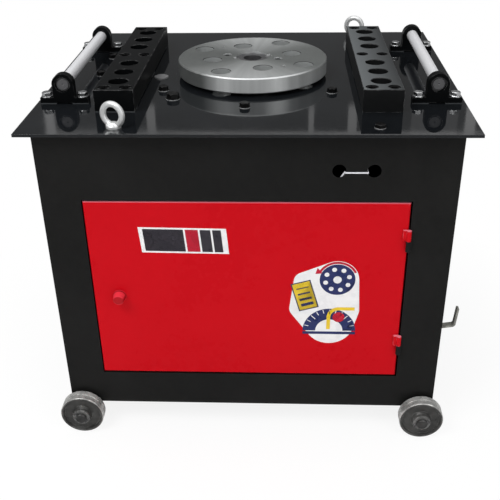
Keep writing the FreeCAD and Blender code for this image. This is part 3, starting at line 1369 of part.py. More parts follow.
def cable_strap():
    """White strap that runs from one cable hole to the other and slants away behind the first."""
    inset = CABLE_HOLE_RADIUS - STRAP_RIM_GAP - STRAP_THICK
    x = (CABLE_HOLE_X[0] + inset, CABLE_HOLE_X[1] - inset)
    front = -CABINET_Y - SEAL_GAP - STRAP_THICK
    behind = (-INNER_Y + SEAL_GAP, -INNER_Y + SEAL_GAP + STRAP_THICK)
    tail = behind[1] + STRAP_TAIL
    level = CABLE_HOLE_Z - STRAP_DROP
    z = around(level, STRAP_WIDTH)
    loop = block(x, (front, tail), z)
    loop = loop.cut(block((x[0] + STRAP_THICK, x[1] - STRAP_THICK), (front + STRAP_THICK, tail), z))
    loop = loop.cut(block((x[0], x[0] + STRAP_THICK), (behind[1], tail), z))
    slant = block((x[0] - STRAP_SLANT_LENGTH, x[0] + STRAP_THICK), behind, z)
    slant.rotate(V(x[0], 0, level), BACK, -STRAP_SLANT)
    return fused([loop, slant])


def cable_hook():
    """Flat strip that rises a little from the side panel and bends up, to hang the mains cable on."""
    rise = math.radians(HOOK_RISE)
    lean = math.radians(HOOK_LEAN)
    along = V(math.cos(rise), 0, math.sin(rise))
    upward = V(math.sin(lean), 0, math.cos(lean))
    above = V(-along.z, 0, along.x)
    inside = V(-upward.z, 0, upward.x)
    heel = V(CABINET_X, HOOK_FRONT, HOOK_LEVEL)
    corner = heel + along * HOOK_REACH
    tip = corner + upward * HOOK_UPRIGHT
    inner_corner = corner + (above + inside) * (HOOK_THICK / (1 + above.dot(inside)))
    inner_heel = heel + UP * (HOOK_THICK / along.x)
    outline = [heel, corner, tip, tip + inside * HOOK_THICK, inner_corner, inner_heel]
    strip = prism(outline, V(0, HOOK_WIDTH, 0))
    for point, radius in ((corner, HOOK_BEND), (inner_corner, HOOK_BEND - HOOK_THICK)):
        bend = [
            edge for edge in strip.Edges
            if edge.BoundBox.YLength > HOOK_WIDTH - NEAR and abs(edge.CenterOfMass.x - point.x) < NEAR
            and abs(edge.CenterOfMass.z - point.z) < NEAR
        ]
        strip = strip.makeFillet(radius, bend)
    return strip


def control_box():
    """Shallow steel box on the right side panel, open towards the middle of the cabinet."""
    x = (INNER_X - CONTROL_BOX_DEPTH, INNER_X)
    outer = block(x, (CONTROL_BOX_FRONT, CONTROL_BOX_BACK), (CONTROL_BOX_LOW, CONTROL_BOX_HIGH))
    wall = CONTROL_BOX_WALL
    inner = block(
        (x[0], x[1] - wall), (CONTROL_BOX_FRONT + wall, CONTROL_BOX_BACK - wall),
        (CONTROL_BOX_LOW + wall, CONTROL_BOX_HIGH - wall))
    return outer.cut(inner)


def control_box_lid():
    x = INNER_X - CONTROL_BOX_DEPTH
    wall = CONTROL_BOX_WALL
    cover = block((x - wall, x), (CONTROL_BOX_FRONT, CONTROL_BOX_BACK), (CONTROL_BOX_LOW, CONTROL_BOX_HIGH))
    lip = block(
        (x, x + CONTROL_LID_LIP), (CONTROL_BOX_FRONT + wall, CONTROL_BOX_BACK - wall),
        (CONTROL_BOX_LOW + wall, CONTROL_BOX_HIGH - wall))
    hollow = block(
        (x, x + CONTROL_LID_LIP), (CONTROL_BOX_FRONT + 2 * wall, CONTROL_BOX_BACK - 2 * wall),
        (CONTROL_BOX_LOW + 2 * wall, CONTROL_BOX_HIGH - 2 * wall))
    return fused([cover, lip.cut(hollow)])


# Running gear
def wheel(side, end):
    """Cast wheel with a dished face, a hub that stands out and a grooved tread, front outwards."""
    bore = AXLE_RADIUS + RUNNING_GAP
    rim_inner = WHEEL_RADIUS - WHEEL_RIM
    dish_floor = WHEEL_WIDTH - WHEEL_DISH
    hub_face = WHEEL_WIDTH + WHEEL_HUB_RISE
    groove = (WHEEL_WIDTH - WHEEL_GROOVE_WIDTH) / 2
    profile = [
        (bore, 0.0),
        (WHEEL_RADIUS - WHEEL_CHAMFER, 0.0),
        (WHEEL_RADIUS, WHEEL_CHAMFER),
        (WHEEL_RADIUS, groove),
        (WHEEL_RADIUS - WHEEL_GROOVE_DEPTH, groove),
        (WHEEL_RADIUS - WHEEL_GROOVE_DEPTH, groove + WHEEL_GROOVE_WIDTH),
        (WHEEL_RADIUS, groove + WHEEL_GROOVE_WIDTH),
        (WHEEL_RADIUS, WHEEL_WIDTH - WHEEL_CHAMFER),
        (WHEEL_RADIUS - WHEEL_CHAMFER, WHEEL_WIDTH),
        (rim_inner, WHEEL_WIDTH),
        (rim_inner - WHEEL_DISH / 2, dish_floor),
        (WHEEL_HUB_RADIUS + WHEEL_HUB_FLARE, dish_floor),
        (WHEEL_HUB_RADIUS, WHEEL_WIDTH),
        (WHEEL_HUB_RADIUS, hub_face),
        (bore, hub_face),
    ]
    shape = turned(profile, 0, 0)
    shape.rotate(V(0, 0, 0), RIGHT, -end * 90)
    shape.translate(V(side * WHEEL_X, end * WHEEL_BACK, WHEEL_RADIUS))
    return shape


def outer_washer_y():
    """Distances of the outer washers' two faces from the middle."""
    start = HUB_FRONT + WASHER_GAP
    return start, start + WASHER_THICK


def split_pin(side, end):
    angle = math.radians(SPLIT_PIN_ANGLES["left" if side < 0 else "right"])
    reach = V(math.cos(angle), 0, math.sin(angle)) * (SPLIT_PIN_LENGTH / 2)
    y = outer_washer_y()[1] + WASHER_GAP + SPLIT_PIN_RADIUS
    middle = V(side * WHEEL_X, end * y, WHEEL_RADIUS)
    return rod(SPLIT_PIN_RADIUS, middle - reach, middle + reach)


def corners():
    return [(side, end) for side in (-1, 1) for end in (-1, 1)]


def axles():
    """Two through axles under the cabinet, drilled for the split pins."""
    rods = []
    for side in (-1, 1):
        x = side * WHEEL_X
        axle = rod(AXLE_RADIUS, V(x, -AXLE_END, WHEEL_RADIUS), V(x, AXLE_END, WHEEL_RADIUS))
        axle = axle.makeChamfer(AXLE_CHAMFER, end_rims(axle, AXLE_END))
        rods.append(axle.cut([split_pin(side, end) for end in (-1, 1)]))
    return rods


def axle_lugs():
    """Lugs welded under the base plate, one beside each wheel."""
    lugs = []
    for side, end in corners():
        x = side * WHEEL_X
        y = (end * (CABINET_Y - LUG_LENGTH), end * CABINET_Y)
        hanger = block(around(x, 2 * LUG_RADIUS), y, (WHEEL_RADIUS, CABINET_BOTTOM))
        eye = rod(LUG_RADIUS, V(x, y[0], WHEEL_RADIUS), V(x, y[1], WHEEL_RADIUS))
        bore = rod(AXLE_RADIUS, V(x, y[0], WHEEL_RADIUS), V(x, y[1], WHEEL_RADIUS))
        below = block(around(x, 2 * LUG_RADIUS), y, (0.0, CABINET_BOTTOM))
        lugs.append(fused([hanger, eye]).common(below).cut(bore))
    return lugs


def wheel_washers():
    """Washers alike on both sides of each wheel."""
    washers = []
    starts = [CABINET_Y + i * WASHER_THICK for i in range(INNER_WASHERS)]
    starts.append(outer_washer_y()[0])
    for side, end in corners():
        x = side * WHEEL_X
        for start in starts:
            near = V(x, end * start, WHEEL_RADIUS)
            far = V(x, end * (start + WASHER_THICK), WHEEL_RADIUS)
            washers.append(rod(WASHER_RADIUS, near, far).cut(rod(AXLE_RADIUS, near, far)))
    return washers


def model():
    """Every node of the machine with its solids."""
    nodes = {
        "table_plate": [table_plate()],
        "left_hole_bar": [hole_bar(-1)],
        "right_hole_bar": [hole_bar(1)],
        "hole_bar_screws": hole_bar_screws(),
        "backing_strips": backing_strips(),
        "roller_block_bolts": roller_block_bolts(),
        "left_roller": roller(-1),
        "right_roller": roller(1),
        "gearbox_bolts": gearbox_bolts(),
        "hanger_bolts": hanger_bolts(),
        "oil_filler_plug": [oil_filler_plug()],
        "eye_bolts": [eye_bolt(x, y) for x, y in eye_places()],
        "corner_screws": corner_screws(),
        "working_disc": [working_disc()],
        "disc_keys": disc_keys(),
        "disc_screws": disc_screws(),
        "spindle": [spindle()],
        "output_gear": [output_gear()],
        "intermediate_gear": [intermediate_gear()],
        "intermediate_shaft": [intermediate_shaft()],
        "input_shaft": [input_shaft()],
        "shaft_bearings": shaft_bearings(),
        "gearbox_cover": [gearbox_cover()],
        "gearbox_case": [gearbox_case()],
        "gearbox_case_bolts": gearbox_case_bolts(),
        "input_pulley": [input_pulley()],
        "motor_pulley": [motor_pulley()],
        "v_belts": v_belts(),
        "motor_housing": [motor_housing()],
        "motor_bolts": motor_bolts(),
        "motor_hanger": [motor_hanger()],
        "fan_cover": [fan_cover()],
        "motor_fan": [motor_fan()],
        "motor_shaft": [motor_shaft()],
        "cabinet_frame": cabinet_frame(),
        "base_plate": [base_plate()],
        "front_panel": [front_panel()],
        "left_side_panel": [side_panel(-1)],
        "right_side_panel": [side_panel(1)],
        "rear_panel": [rear_panel()],
        "door": [door()],
        "frame_hinges": frame_hinges(),
        "door_knob": [door_knob()],
        "latch_cam": [latch_cam()],
        "cable_strap": [cable_strap()],
        "cable_hook": [cable_hook()],
        "control_box": [control_box()],
        "control_box_lid": [control_box_lid()],
        "axles": axles(),
        "axle_lugs": axle_lugs(),
        "wheel_washers": wheel_washers(),
        "split_pins": [split_pin(side, end) for side, end in corners()],
    }
    for side, end in corners():
        place = ("front_" if end < 0 else "rear_") + ("left" if side < 0 else "right")
        nodes["roller_block_" + place] = [roller_block(side, end)]
        nodes["wheel_" + place] = [wheel(side, end)]
    return nodes


os.makedirs("parts", exist_ok=True)
for name, solids in model().items():
    shape = solids[0] if len(solids) == 1 else Part.Compound(solids)
    shape.exportStep("parts/" + name + ".step")
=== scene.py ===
# %% [markdown]
# Rebar bending machine. A black sheet-steel cabinet on four cast wheels carries a bending
# table. A steel disc with eight pin holes turns in the middle of the table, and two fixed
# bars with rows of pin holes and two loose rollers hold the rebar beside it. This lesson
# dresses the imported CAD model: the shapes of the big parts are already right, so most of
# the work is in materials, and in the few pieces that the CAD only sketches.

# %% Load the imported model
import math

import bmesh
import bpy
from mathutils import Matrix, Vector, geometry


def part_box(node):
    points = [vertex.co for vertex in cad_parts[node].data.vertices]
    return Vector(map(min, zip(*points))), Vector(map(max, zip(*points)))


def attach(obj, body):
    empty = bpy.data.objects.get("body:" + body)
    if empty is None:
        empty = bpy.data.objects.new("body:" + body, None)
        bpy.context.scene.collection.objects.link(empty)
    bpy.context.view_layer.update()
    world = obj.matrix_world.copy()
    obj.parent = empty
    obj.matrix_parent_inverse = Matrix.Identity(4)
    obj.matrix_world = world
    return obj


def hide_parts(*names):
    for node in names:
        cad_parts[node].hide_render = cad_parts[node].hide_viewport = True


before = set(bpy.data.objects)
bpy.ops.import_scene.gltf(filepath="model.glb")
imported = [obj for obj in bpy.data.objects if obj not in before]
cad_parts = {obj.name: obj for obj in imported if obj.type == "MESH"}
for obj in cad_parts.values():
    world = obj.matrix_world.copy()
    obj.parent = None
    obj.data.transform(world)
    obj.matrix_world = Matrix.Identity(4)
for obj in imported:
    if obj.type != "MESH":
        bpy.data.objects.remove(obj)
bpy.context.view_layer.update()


def linked(name, data):
    """Makes an object of its data and puts it in the scene."""
    made = bpy.data.objects.new(name, data)
    bpy.context.scene.collection.objects.link(made)
    return made


# %% [markdown]
# The photograph was taken from above the front edge, a little to the right of the middle.
# The camera comes first, because everything else is compared through it. Its place and
# directions were found by matching corners of the table, the disc and the wheels.

# %% Camera
RIGHT = Vector((0.99905, 0.04102, -0.01442))
UP = Vector((-0.00772, 0.49364, 0.86963))
BACK = RIGHT.cross(UP)
CAMERA_PLACE = (0.07442, -1.77796, 1.28605)

camera_data = bpy.data.cameras.new("camera")
camera_data.sensor_width = 36
camera_data.lens = 56.18
camera = linked("camera", camera_data)
turn = Matrix((RIGHT, UP, BACK)).transposed().to_4x4()
camera.matrix_world = Matrix.Translation(CAMERA_PLACE) @ turn
bpy.context.scene.camera = camera
bpy.context.scene.view_settings.view_transform = "Standard"
print("camera looks along", tuple(round(-v, 3) for v in BACK))

# %% [markdown]
# A material is a small graph of nodes. The first helper adds one node, sets its options and
# fills its inputs, each with a number, a colour or another node's output. The second makes
# a node group, which is a graph with named inputs and outputs that can be used many times.

# %% Helpers that add a node and a group
FLOAT = "NodeSocketFloat"
VECTOR = "NodeSocketVector"


def add(tree, kind, inputs=None, **options):
    node = tree.nodes.new(kind)
    for name, value in options.items():
        setattr(node, name, value)
    for key, value in (inputs or {}).items():
        if isinstance(value, bpy.types.NodeSocket):
            tree.links.new(value, node.inputs[key])
        else:
            node.inputs[key].default_value = value
    return node


def new_group(name, inputs, outputs, kind="ShaderNodeTree"):
    """A node group with named inputs (type, default) and outputs (type)."""
    tree = bpy.data.node_groups.new(name, kind)
    for label, (socket_kind, default) in inputs.items():
        socket = tree.interface.new_socket(label, in_out="INPUT", socket_type=socket_kind)
        if default is not None:
            socket.default_value = default
    for label, socket_kind in outputs.items():
        tree.interface.new_socket(label, in_out="OUTPUT", socket_type=socket_kind)
    print("node group", name)
    return tree, tree.nodes.new("NodeGroupInput"), tree.nodes.new("NodeGroupOutput")


print("helpers for nodes and groups")

# %% [markdown]
# Most graphs are made of a few kinds of node, so each kind gets a helper that returns
# the output that matters: a sum, a product, a range stretched to another range, a mix of
# two numbers or two colours, and a noise.

# %% Helpers for sums, ranges, mixes and noise
def calc(tree, way, a, b=None, **options):
    inputs = {0: a} if b is None else {0: a, 1: b}
    return add(tree, "ShaderNodeMath", inputs, operation=way, **options).outputs["Value"]


def product(tree, first, *others):
    for other in others:
        first = calc(tree, "MULTIPLY", first, other)
    return first


def ramp(tree, value, low, high, start=0.0, end=1.0):
    """The range from low to high becomes start to end, and is held outside it."""
    sizes = {"Value": value, "From Min": low, "From Max": high, "To Min": start, "To Max": end}
    return add(tree, "ShaderNodeMapRange", sizes).outputs["Result"]


def mix(tree, factor, a, b):
    return add(tree, "ShaderNodeMix", {"Factor": factor, "A": a, "B": b}).outputs["Result"]


def mix_colour(tree, factor, a, b):
    inputs = {"Factor": factor, 6: a, 7: b}
    return add(tree, "ShaderNodeMix", inputs, data_type="RGBA").outputs[2]


def noise(tree, place, scale, detail=3, **more):
    inputs = {"Vector": place, "Scale": scale, "Detail": detail, **more}
    return add(tree, "ShaderNodeTexNoise", inputs).outputs["Fac"]


def object_place(tree):
    return add(tree, "ShaderNodeTexCoord").outputs["Object"]


print("helpers for 7 kinds of node")

# %% [markdown]
# Paint and plating wear off first on sharp edges. A Bevel node rounds the shading normal
# near an edge, so where it differs from the true normal there is an edge. Noise breaks the
# mask up, because wear is never an even line.

# %% Group: edge wear
wear_group, wear_in, wear_out = new_group(
    "edge_wear",
    {"Radius": (FLOAT, 0.002), "Breakup": (FLOAT, 60), "Amount": (FLOAT, 0.5)},
    {"Mask": FLOAT},
)
soft = add(wear_group, "ShaderNodeBevel", {"Radius": wear_in.outputs["Radius"]}, samples=4)
true = add(wear_group, "ShaderNodeNewGeometry")
normals = {0: soft.outputs["Normal"], 1: true.outputs["Normal"]}
match = add(wear_group, "ShaderNodeVectorMath", normals, operation="DOT_PRODUCT")
edge = ramp(wear_group, match.outputs["Value"], 0.995, 0.85)
broken = noise(wear_group, object_place(wear_group), wear_in.outputs["Breakup"], 4)
both = product(wear_group, edge, ramp(wear_group, broken, 0.42, 0.62))
scaled = calc(wear_group, "MULTIPLY", both, wear_in.outputs["Amount"], use_clamp=True)
wear_group.links.new(scaled, wear_out.inputs["Mask"])

# %% [markdown]
# Handling leaves smudges and a thin film of dust. Two noises of very different size make a
# mask that shifts colour and roughness a little, so no surface is one even value.

# %% Group: smudges
smudge_group, smudge_in, smudge_out = new_group(
    "smudges",
    {"Size": (FLOAT, 5), "Fine": (FLOAT, 80)},
    {"Mask": FLOAT},
)
place = object_place(smudge_group)
wide = noise(smudge_group, place, smudge_in.outputs["Size"], 5, Distortion=0.6)
fine = noise(smudge_group, place, smudge_in.outputs["Fine"])
spread = ramp(smudge_group, mix(smudge_group, 0.35, wide, fine), 0.35, 0.65)
smudge_group.links.new(spread, smudge_out.inputs["Mask"])

# %% [markdown]
# Turned and ground steel carries fine lines. Stretching a noise along one direction gives
# lines, and the three stretch values choose that direction for each part.

# %% Group: tool lines
line_group, line_in, line_out = new_group(
    "tool_lines",
    {"Stretch": (VECTOR, (1.0, 1.0, 40)), "Scale": (FLOAT, 30)},
    {"Mask": FLOAT},
)
stretch = {0: object_place(line_group), 1: line_in.outputs["Stretch"]}
pulled = add(line_group, "ShaderNodeVectorMath", stretch, operation="MULTIPLY").outputs["Vector"]
lines = noise(line_group, pulled, line_in.outputs["Scale"], Roughness=0.7)
line_group.links.new(lines, line_out.inputs["Mask"])

# %% [markdown]
# The face of a turned disc carries rings instead. The distance from the turning axis feeds
# a noise that then only changes outwards. The axis is given by a point and by the two
# directions across it, as ones and zeros.

# %% Group: turning rings
ring_group, ring_in, ring_out = new_group(
    "turning_rings",
    {"Centre": (VECTOR, (0.0, 0.0, 0.0)), "Across": (VECTOR, (1.0, 1.0, 0.0)),
     "Scale": (FLOAT, 300)},
    {"Mask": FLOAT},
)
vector = object_place(ring_group)
for way, label in (("SUBTRACT", "Centre"), ("MULTIPLY", "Across")):
    inputs = {0: vector, 1: ring_in.outputs[label]}
    vector = add(ring_group, "ShaderNodeVectorMath", inputs, operation=way).outputs["Vector"]
away = add(ring_group, "ShaderNodeVectorMath", {0: vector}, operation="LENGTH").outputs["Value"]
inputs = {"W": away, "Scale": ring_in.outputs["Scale"], "Detail": 4}
rings = add(ring_group, "ShaderNodeTexNoise", inputs, noise_dimensions="1D")
ring_group.links.new(rings.outputs["Fac"], ring_out.inputs["Mask"])

# %% [markdown]
# Almost every material follows one recipe: a base colour that drifts with the
# smudges, a roughness that drifts with them too, a fine bump, and an edge that shows the
# metal or the bare casting under the finish. Real edges are never sharp, so the recipe
# also rounds the shading at every edge, where it catches the light.

# %% Recipe for a finish
BUMP_DEPTH = 0.0005
CUT_SHARE = 0.5
CUT_DEPTH_SHARE = 0.7
finishes = {}


def placed(tree, group, **values):
    """Puts a group in a material and sets its inputs."""
    node = add(tree, "ShaderNodeGroup", node_tree=group)
    for label, value in values.items():
        node.inputs[label].default_value = value
    return node.outputs["Mask"]


def finish(name, colour, drift, metallic=0.0, rough=(0.3, 0.45), bump=(200, 0.05), wear=None,
           specular=0.5, lines=None, rings=None, size=5, rounding=0.0006):
    material = bpy.data.materials.new(name)
    material.use_nodes = True
    tree = material.node_tree
    shader = tree.nodes["Principled BSDF"]
    mask = placed(tree, smudge_group, Size=size)
    height = noise(tree, object_place(tree), bump[0])
    cut = None
    if lines:
        cut = placed(tree, line_group, Stretch=lines)
    if rings:
        cut = placed(tree, ring_group, Centre=rings[0], Across=rings[1])
    if cut:
        mask = mix(tree, CUT_SHARE, mask, cut)
        height = mix(tree, CUT_DEPTH_SHARE, height, cut)
    base = mix_colour(tree, mask, (*colour, 1.0), (*drift, 1.0))
    if wear:
        radius, amount, worn_colour = wear
        edge = placed(tree, wear_group, Radius=radius, Amount=amount)
        base = mix_colour(tree, edge, base, (*worn_colour, 1.0))
    tree.links.new(base, shader.inputs["Base Color"])
    tree.links.new(ramp(tree, mask, 0.0, 1.0, *rough), shader.inputs["Roughness"])
    shader.inputs["Metallic"].default_value = metallic
    shader.inputs["Specular IOR Level"].default_value = specular
    eased = add(tree, "ShaderNodeBevel", {"Radius": rounding}, samples=4)
    relief = add(tree, "ShaderNodeBump", {"Strength": bump[1], "Distance": BUMP_DEPTH,
                                          "Height": height, "Normal": eased.outputs["Normal"]})
    tree.links.new(relief.outputs["Normal"], shader.inputs["Normal"])
    finishes[name] = material


print("cuts make up", CUT_SHARE, "of a mask")

# %% [markdown]
# Paints first. The cabinet is satin black powder coat and the table a much glossier black,
# in which the disc and the bars are mirrored. The door is saturated red, and along its folded
# edges a pale pink stands partly for wear and partly for a painted highlight. The knob is a
# darker copy of that red, which paints shade into it. Inside, the gearbox has grey primer and
# the motor a smooth grey.

# %% Painted finishes
finish("cabinet_paint", (0.0088, 0.0088, 0.0085), (0.0125, 0.0124, 0.012), rough=(0.34, 0.46),
       bump=(260, 0.10), wear=(0.0015, 0.35, (0.07, 0.07, 0.07)), specular=0.15)
finish("table_paint", (0.0058, 0.0068, 0.0080), (0.0088, 0.0102, 0.0120), rough=(0.03, 0.075),
       bump=(220, 0.02), wear=(0.0015, 0.5, (0.08, 0.08, 0.08)))
# The pale pink of the door's edges is partly wear and partly a painted highlight.
finish("door_paint", (0.545, 0.0022, 0.0078), (0.575, 0.0030, 0.0092), rough=(0.24, 0.36),
       bump=(260, 0.08), wear=(0.0022, 0.75, (0.85, 0.20, 0.24)), specular=0.06)
finish("casting_grey", (0.10, 0.105, 0.11), (0.15, 0.155, 0.16), rough=(0.5, 0.65),
       bump=(280, 0.35))
finish("motor_grey", (0.16, 0.18, 0.19), (0.21, 0.23, 0.24), rough=(0.4, 0.55), bump=(250, 0.2))
finish("plug_grey", (0.13, 0.13, 0.135), (0.18, 0.18, 0.18), rough=(0.4, 0.55), bump=(300, 0.1),
       size=30)
# The knob's red is the door's red darkened, as painted shade; its top gets a painted highlight
# below.
finish("shaded_knob_red", (0.40, 0.0035, 0.0085), (0.43, 0.0045, 0.0105), rough=(0.35, 0.45),
       bump=(260, 0.05), specular=0.15)
finish("strap_white", (0.72, 0.72, 0.76), (0.80, 0.80, 0.84), rough=(0.35, 0.5), bump=(300, 0.1),
       size=30)
finish("belt_rubber", (0.012, 0.012, 0.012), (0.03, 0.03, 0.03), rough=(0.6, 0.8), bump=(500, 0.3))
print(len(finishes), "painted and rubber finishes")

# %% [markdown]
# Then the metals. The hole bars are blackened steel with bright worn edges, and the right
# one has a lighter copy of that finish for painted sheen. The disc is turned steel with rings
# about its own axis.
# The rollers are ground bright, and the wheels are cast and turned.

# %% Metal finishes of the large pieces
ALONG_BARS = (1.0, 30, 1.0)
finish("bar_steel", (0.0014, 0.0018, 0.0022), (0.0032, 0.0036, 0.0040), rough=(0.30, 0.42),
       bump=(300, 0.10), wear=(0.0010, 0.95, (0.30, 0.30, 0.30)), specular=0.10, lines=ALONG_BARS)
# The right bar's finish is a lighter copy of bar_steel: painted sheen.
finish("sheen_bar", (0.0060, 0.0064, 0.0068), (0.012, 0.0124, 0.0128), rough=(0.28, 0.40),
       bump=(300, 0.10), wear=(0.0010, 0.95, (0.34, 0.34, 0.34)), specular=0.12, lines=ALONG_BARS)
finish("disc_steel", (0.205, 0.217, 0.213), (0.32, 0.336, 0.328), metallic=0.8, rough=(0.34, 0.46),
       bump=(150, 0.10), wear=(0.0016, 0.7, (0.8, 0.8, 0.8)),
       rings=((0.0, 0.0, 0.0), (1.0, 1.0, 0.0)))
finish("roller_steel", (0.94, 0.95, 0.99), (0.99, 0.99, 1.0), metallic=0.35, rough=(0.32, 0.44),
       bump=(150, 0.06), lines=ALONG_BARS)
finish("wheel_iron", (0.035, 0.035, 0.034), (0.095, 0.094, 0.090), metallic=0.3, rough=(0.26, 0.44),
       bump=(350, 0.30), wear=(0.0016, 0.7, (0.5, 0.5, 0.49)), size=25)
finish("gear_steel", (0.30, 0.30, 0.31), (0.42, 0.42, 0.42), metallic=1.0, rough=(0.28, 0.45),
       bump=(200, 0.10))
print(len(finishes), "finishes")

# %% [markdown]
# The small parts are zinc-plated, forged and plated, blackened, or plain steel that has
# gone dull outdoors. Their grain is finer, so their smudges are smaller too.

# %% Metal finishes of the small pieces
finish("hook_steel", (0.22, 0.22, 0.20), (0.42, 0.42, 0.38), metallic=0.5, rough=(0.30, 0.42),
       bump=(300, 0.10), size=40)
finish("dark_steel", (0.12, 0.12, 0.125), (0.18, 0.18, 0.185), metallic=0.7, rough=(0.32, 0.46),
       bump=(350, 0.15), wear=(0.001, 0.6, (0.4, 0.4, 0.4)), size=25)
finish("zinc", (0.66, 0.67, 0.68), (0.82, 0.83, 0.84), metallic=1.0, rough=(0.18, 0.32),
       bump=(400, 0.10), size=40, rounding=0.0009)
finish("forged_zinc", (0.70, 0.71, 0.71), (0.86, 0.87, 0.87), metallic=0.55, rough=(0.34, 0.48),
       bump=(350, 0.18), size=30)
# The second black finish is for the washers of black bolts, which get a painted highlight on their
# lower edge.
for name in ("black_oxide", "lit_black_washer"):
    finish(name, (0.0035, 0.0035, 0.0038), (0.008, 0.008, 0.008), rough=(0.12, 0.22),
           bump=(400, 0.04), specular=0.12, size=40, rounding=0.0003)
finish("dull_washer", (0.10, 0.10, 0.10), (0.30, 0.30, 0.29), metallic=0.5, rough=(0.24, 0.36),
       bump=(400, 0.2), wear=(0.0012, 0.8, (0.6, 0.6, 0.6)), size=60)
finish("axle_steel", (0.030, 0.030, 0.030), (0.075, 0.074, 0.072), metallic=0.4, rough=(0.28, 0.42),
       bump=(350, 0.2), wear=(0.0008, 0.5, (0.35, 0.35, 0.35)), size=40)
print(len(finishes), "finishes")

# %% [markdown]
# Some finishes change over the piece they are on. `overlay` mixes another colour,
# roughness and metalness over a finish, wherever a mask group says so. A mask starts from
# the place of a point and the direction its surface faces, both split into X, Y and Z.

# %% Helpers for masks
def overlay(name, mask, colour, rough, metallic):
    tree = finishes[name].node_tree
    shader = tree.nodes["Principled BSDF"]
    chosen = placed(tree, mask)
    for label, value in (("Roughness", rough), ("Metallic", metallic)):
        socket = shader.inputs[label]
        old = socket.links[0].from_socket if socket.links else socket.default_value
        tree.links.new(mix(tree, chosen, old, value), socket)
    socket = shader.inputs["Base Color"]
    old = socket.links[0].from_socket
    tree.links.new(mix_colour(tree, chosen, old, (*colour, 1.0)), socket)
    print("overlay on", name)


def mask_group(name):
    """A group with one output, the place and the facing direction in parts, and its end."""
    group, _, outs = new_group(name, {}, {"Mask": FLOAT})
    coords = add(group, "ShaderNodeTexCoord").outputs
    place = add(group, "ShaderNodeSeparateXYZ", {0: coords["Object"]}).outputs
    facing = add(group, "ShaderNodeSeparateXYZ", {0: coords["Normal"]}).outputs
    return group, place, facing, outs.inputs["Mask"]


def distance(group, a, b):
    """How far a point is from an axis, by its two coordinates across the axis."""
    flat = add(group, "ShaderNodeCombineXYZ", {"X": a, "Y": b}).outputs["Vector"]
    return add(group, "ShaderNodeVectorMath", {0: flat}, operation="LENGTH").outputs["Value"]


print("helpers for masks")

# %% [markdown]
# The simplest masks only read the direction that a face looks in. A roller's sawn ends are
# dull. The knob's upper side gets a painted highlight in pink, the upper faces of the door's
# folded edges a painted highlight in pale pink, and the sloping faces of black-oxide parts a
# pale painted highlight.

# %% Overlays by direction
def facing_group(name, axis, low, high, top=1.0):
    """The faces whose direction along one axis is more than a limit, either way."""
    group, place, facing, end = mask_group(name)
    group.links.new(ramp(group, calc(group, "ABSOLUTE", facing[axis]), low, high, 0.0, top), end)
    return group


sawn_ends = facing_group("sawn ends", "Y", 0.50, 0.62)
knob_highlight = facing_group("knob highlight", "Z", 0.15, 0.45, 0.9)
fold_highlight, place, facing, end = mask_group("fold highlight")
fold_highlight.links.new(ramp(fold_highlight, facing["Z"], 0.50, 0.85), end)
bevel_highlight, place, facing, end = mask_group("bevel highlight")
steep = ramp(bevel_highlight, facing["Z"], 0.30, 0.42)
sloping = ramp(bevel_highlight, facing["Z"], 0.90, 0.80)
bevel_highlight.links.new(product(bevel_highlight, steep, sloping), end)
overlay("roller_steel", sawn_ends, (0.13, 0.13, 0.135), 0.50, 0.3)
overlay("shaded_knob_red", knob_highlight, (0.80, 0.040, 0.065), 0.40, 0.0)
overlay("door_paint", fold_highlight, (0.80, 0.20, 0.26), 0.35, 0.0)
overlay("black_oxide", bevel_highlight, (0.62, 0.63, 0.64), 0.24, 0.5)

# %% [markdown]
# Other masks also read the place. The right bar's top gets a painted sheen in grey, strongest
# along the edge next to the disc. The left bar is paler in a thin line at its foot, just above
# the table, and the washers of black bolts get a painted highlight along their lower edge.

# %% Overlays by place on the table
def foot_group(name, full, none):
    """The lowest part above the table, from one height to another."""
    group, place, facing, end = mask_group(name)
    group.links.new(ramp(group, place["Z"], none, full), end)
    return group


bar_sheen, place, facing, end = mask_group("bar sheen")
top = ramp(bar_sheen, facing["Z"], 0.80, 0.95)
near = ramp(bar_sheen, place["X"], 0.235, 0.310, 1.0, 0.27)
bar_sheen.links.new(product(bar_sheen, top, near), end)
bar_foot_line = foot_group("pale bar foot", 0.7474, 0.7480)
washer_highlight = foot_group("washer highlight", 0.7470, 0.7473)
overlay("sheen_bar", bar_sheen, (0.125, 0.135, 0.140), 0.34, 0.0)
overlay("bar_steel", bar_foot_line, (0.075, 0.080, 0.085), 0.40, 0.0)
overlay("lit_black_washer", washer_highlight, (0.80, 0.81, 0.82), 0.25, 0.3)

# %% [markdown]
# The disc's rim was turned with a broad tool, and carries a painted reflection of the
# workshop in upright bands. The mask takes the angle about the disc's axis, so the bands
# stand on the rim, brightest at the front. The flat faces were turned too: a painted sheen
# spreads over their fine rings in two opposite wedges. The insides of the holes are painted
# light, and the front edge, which is a narrow chamfer, carries a painted highlight.

# %% Overlay on the disc
LIT_HOLE_WALLS = 0.58

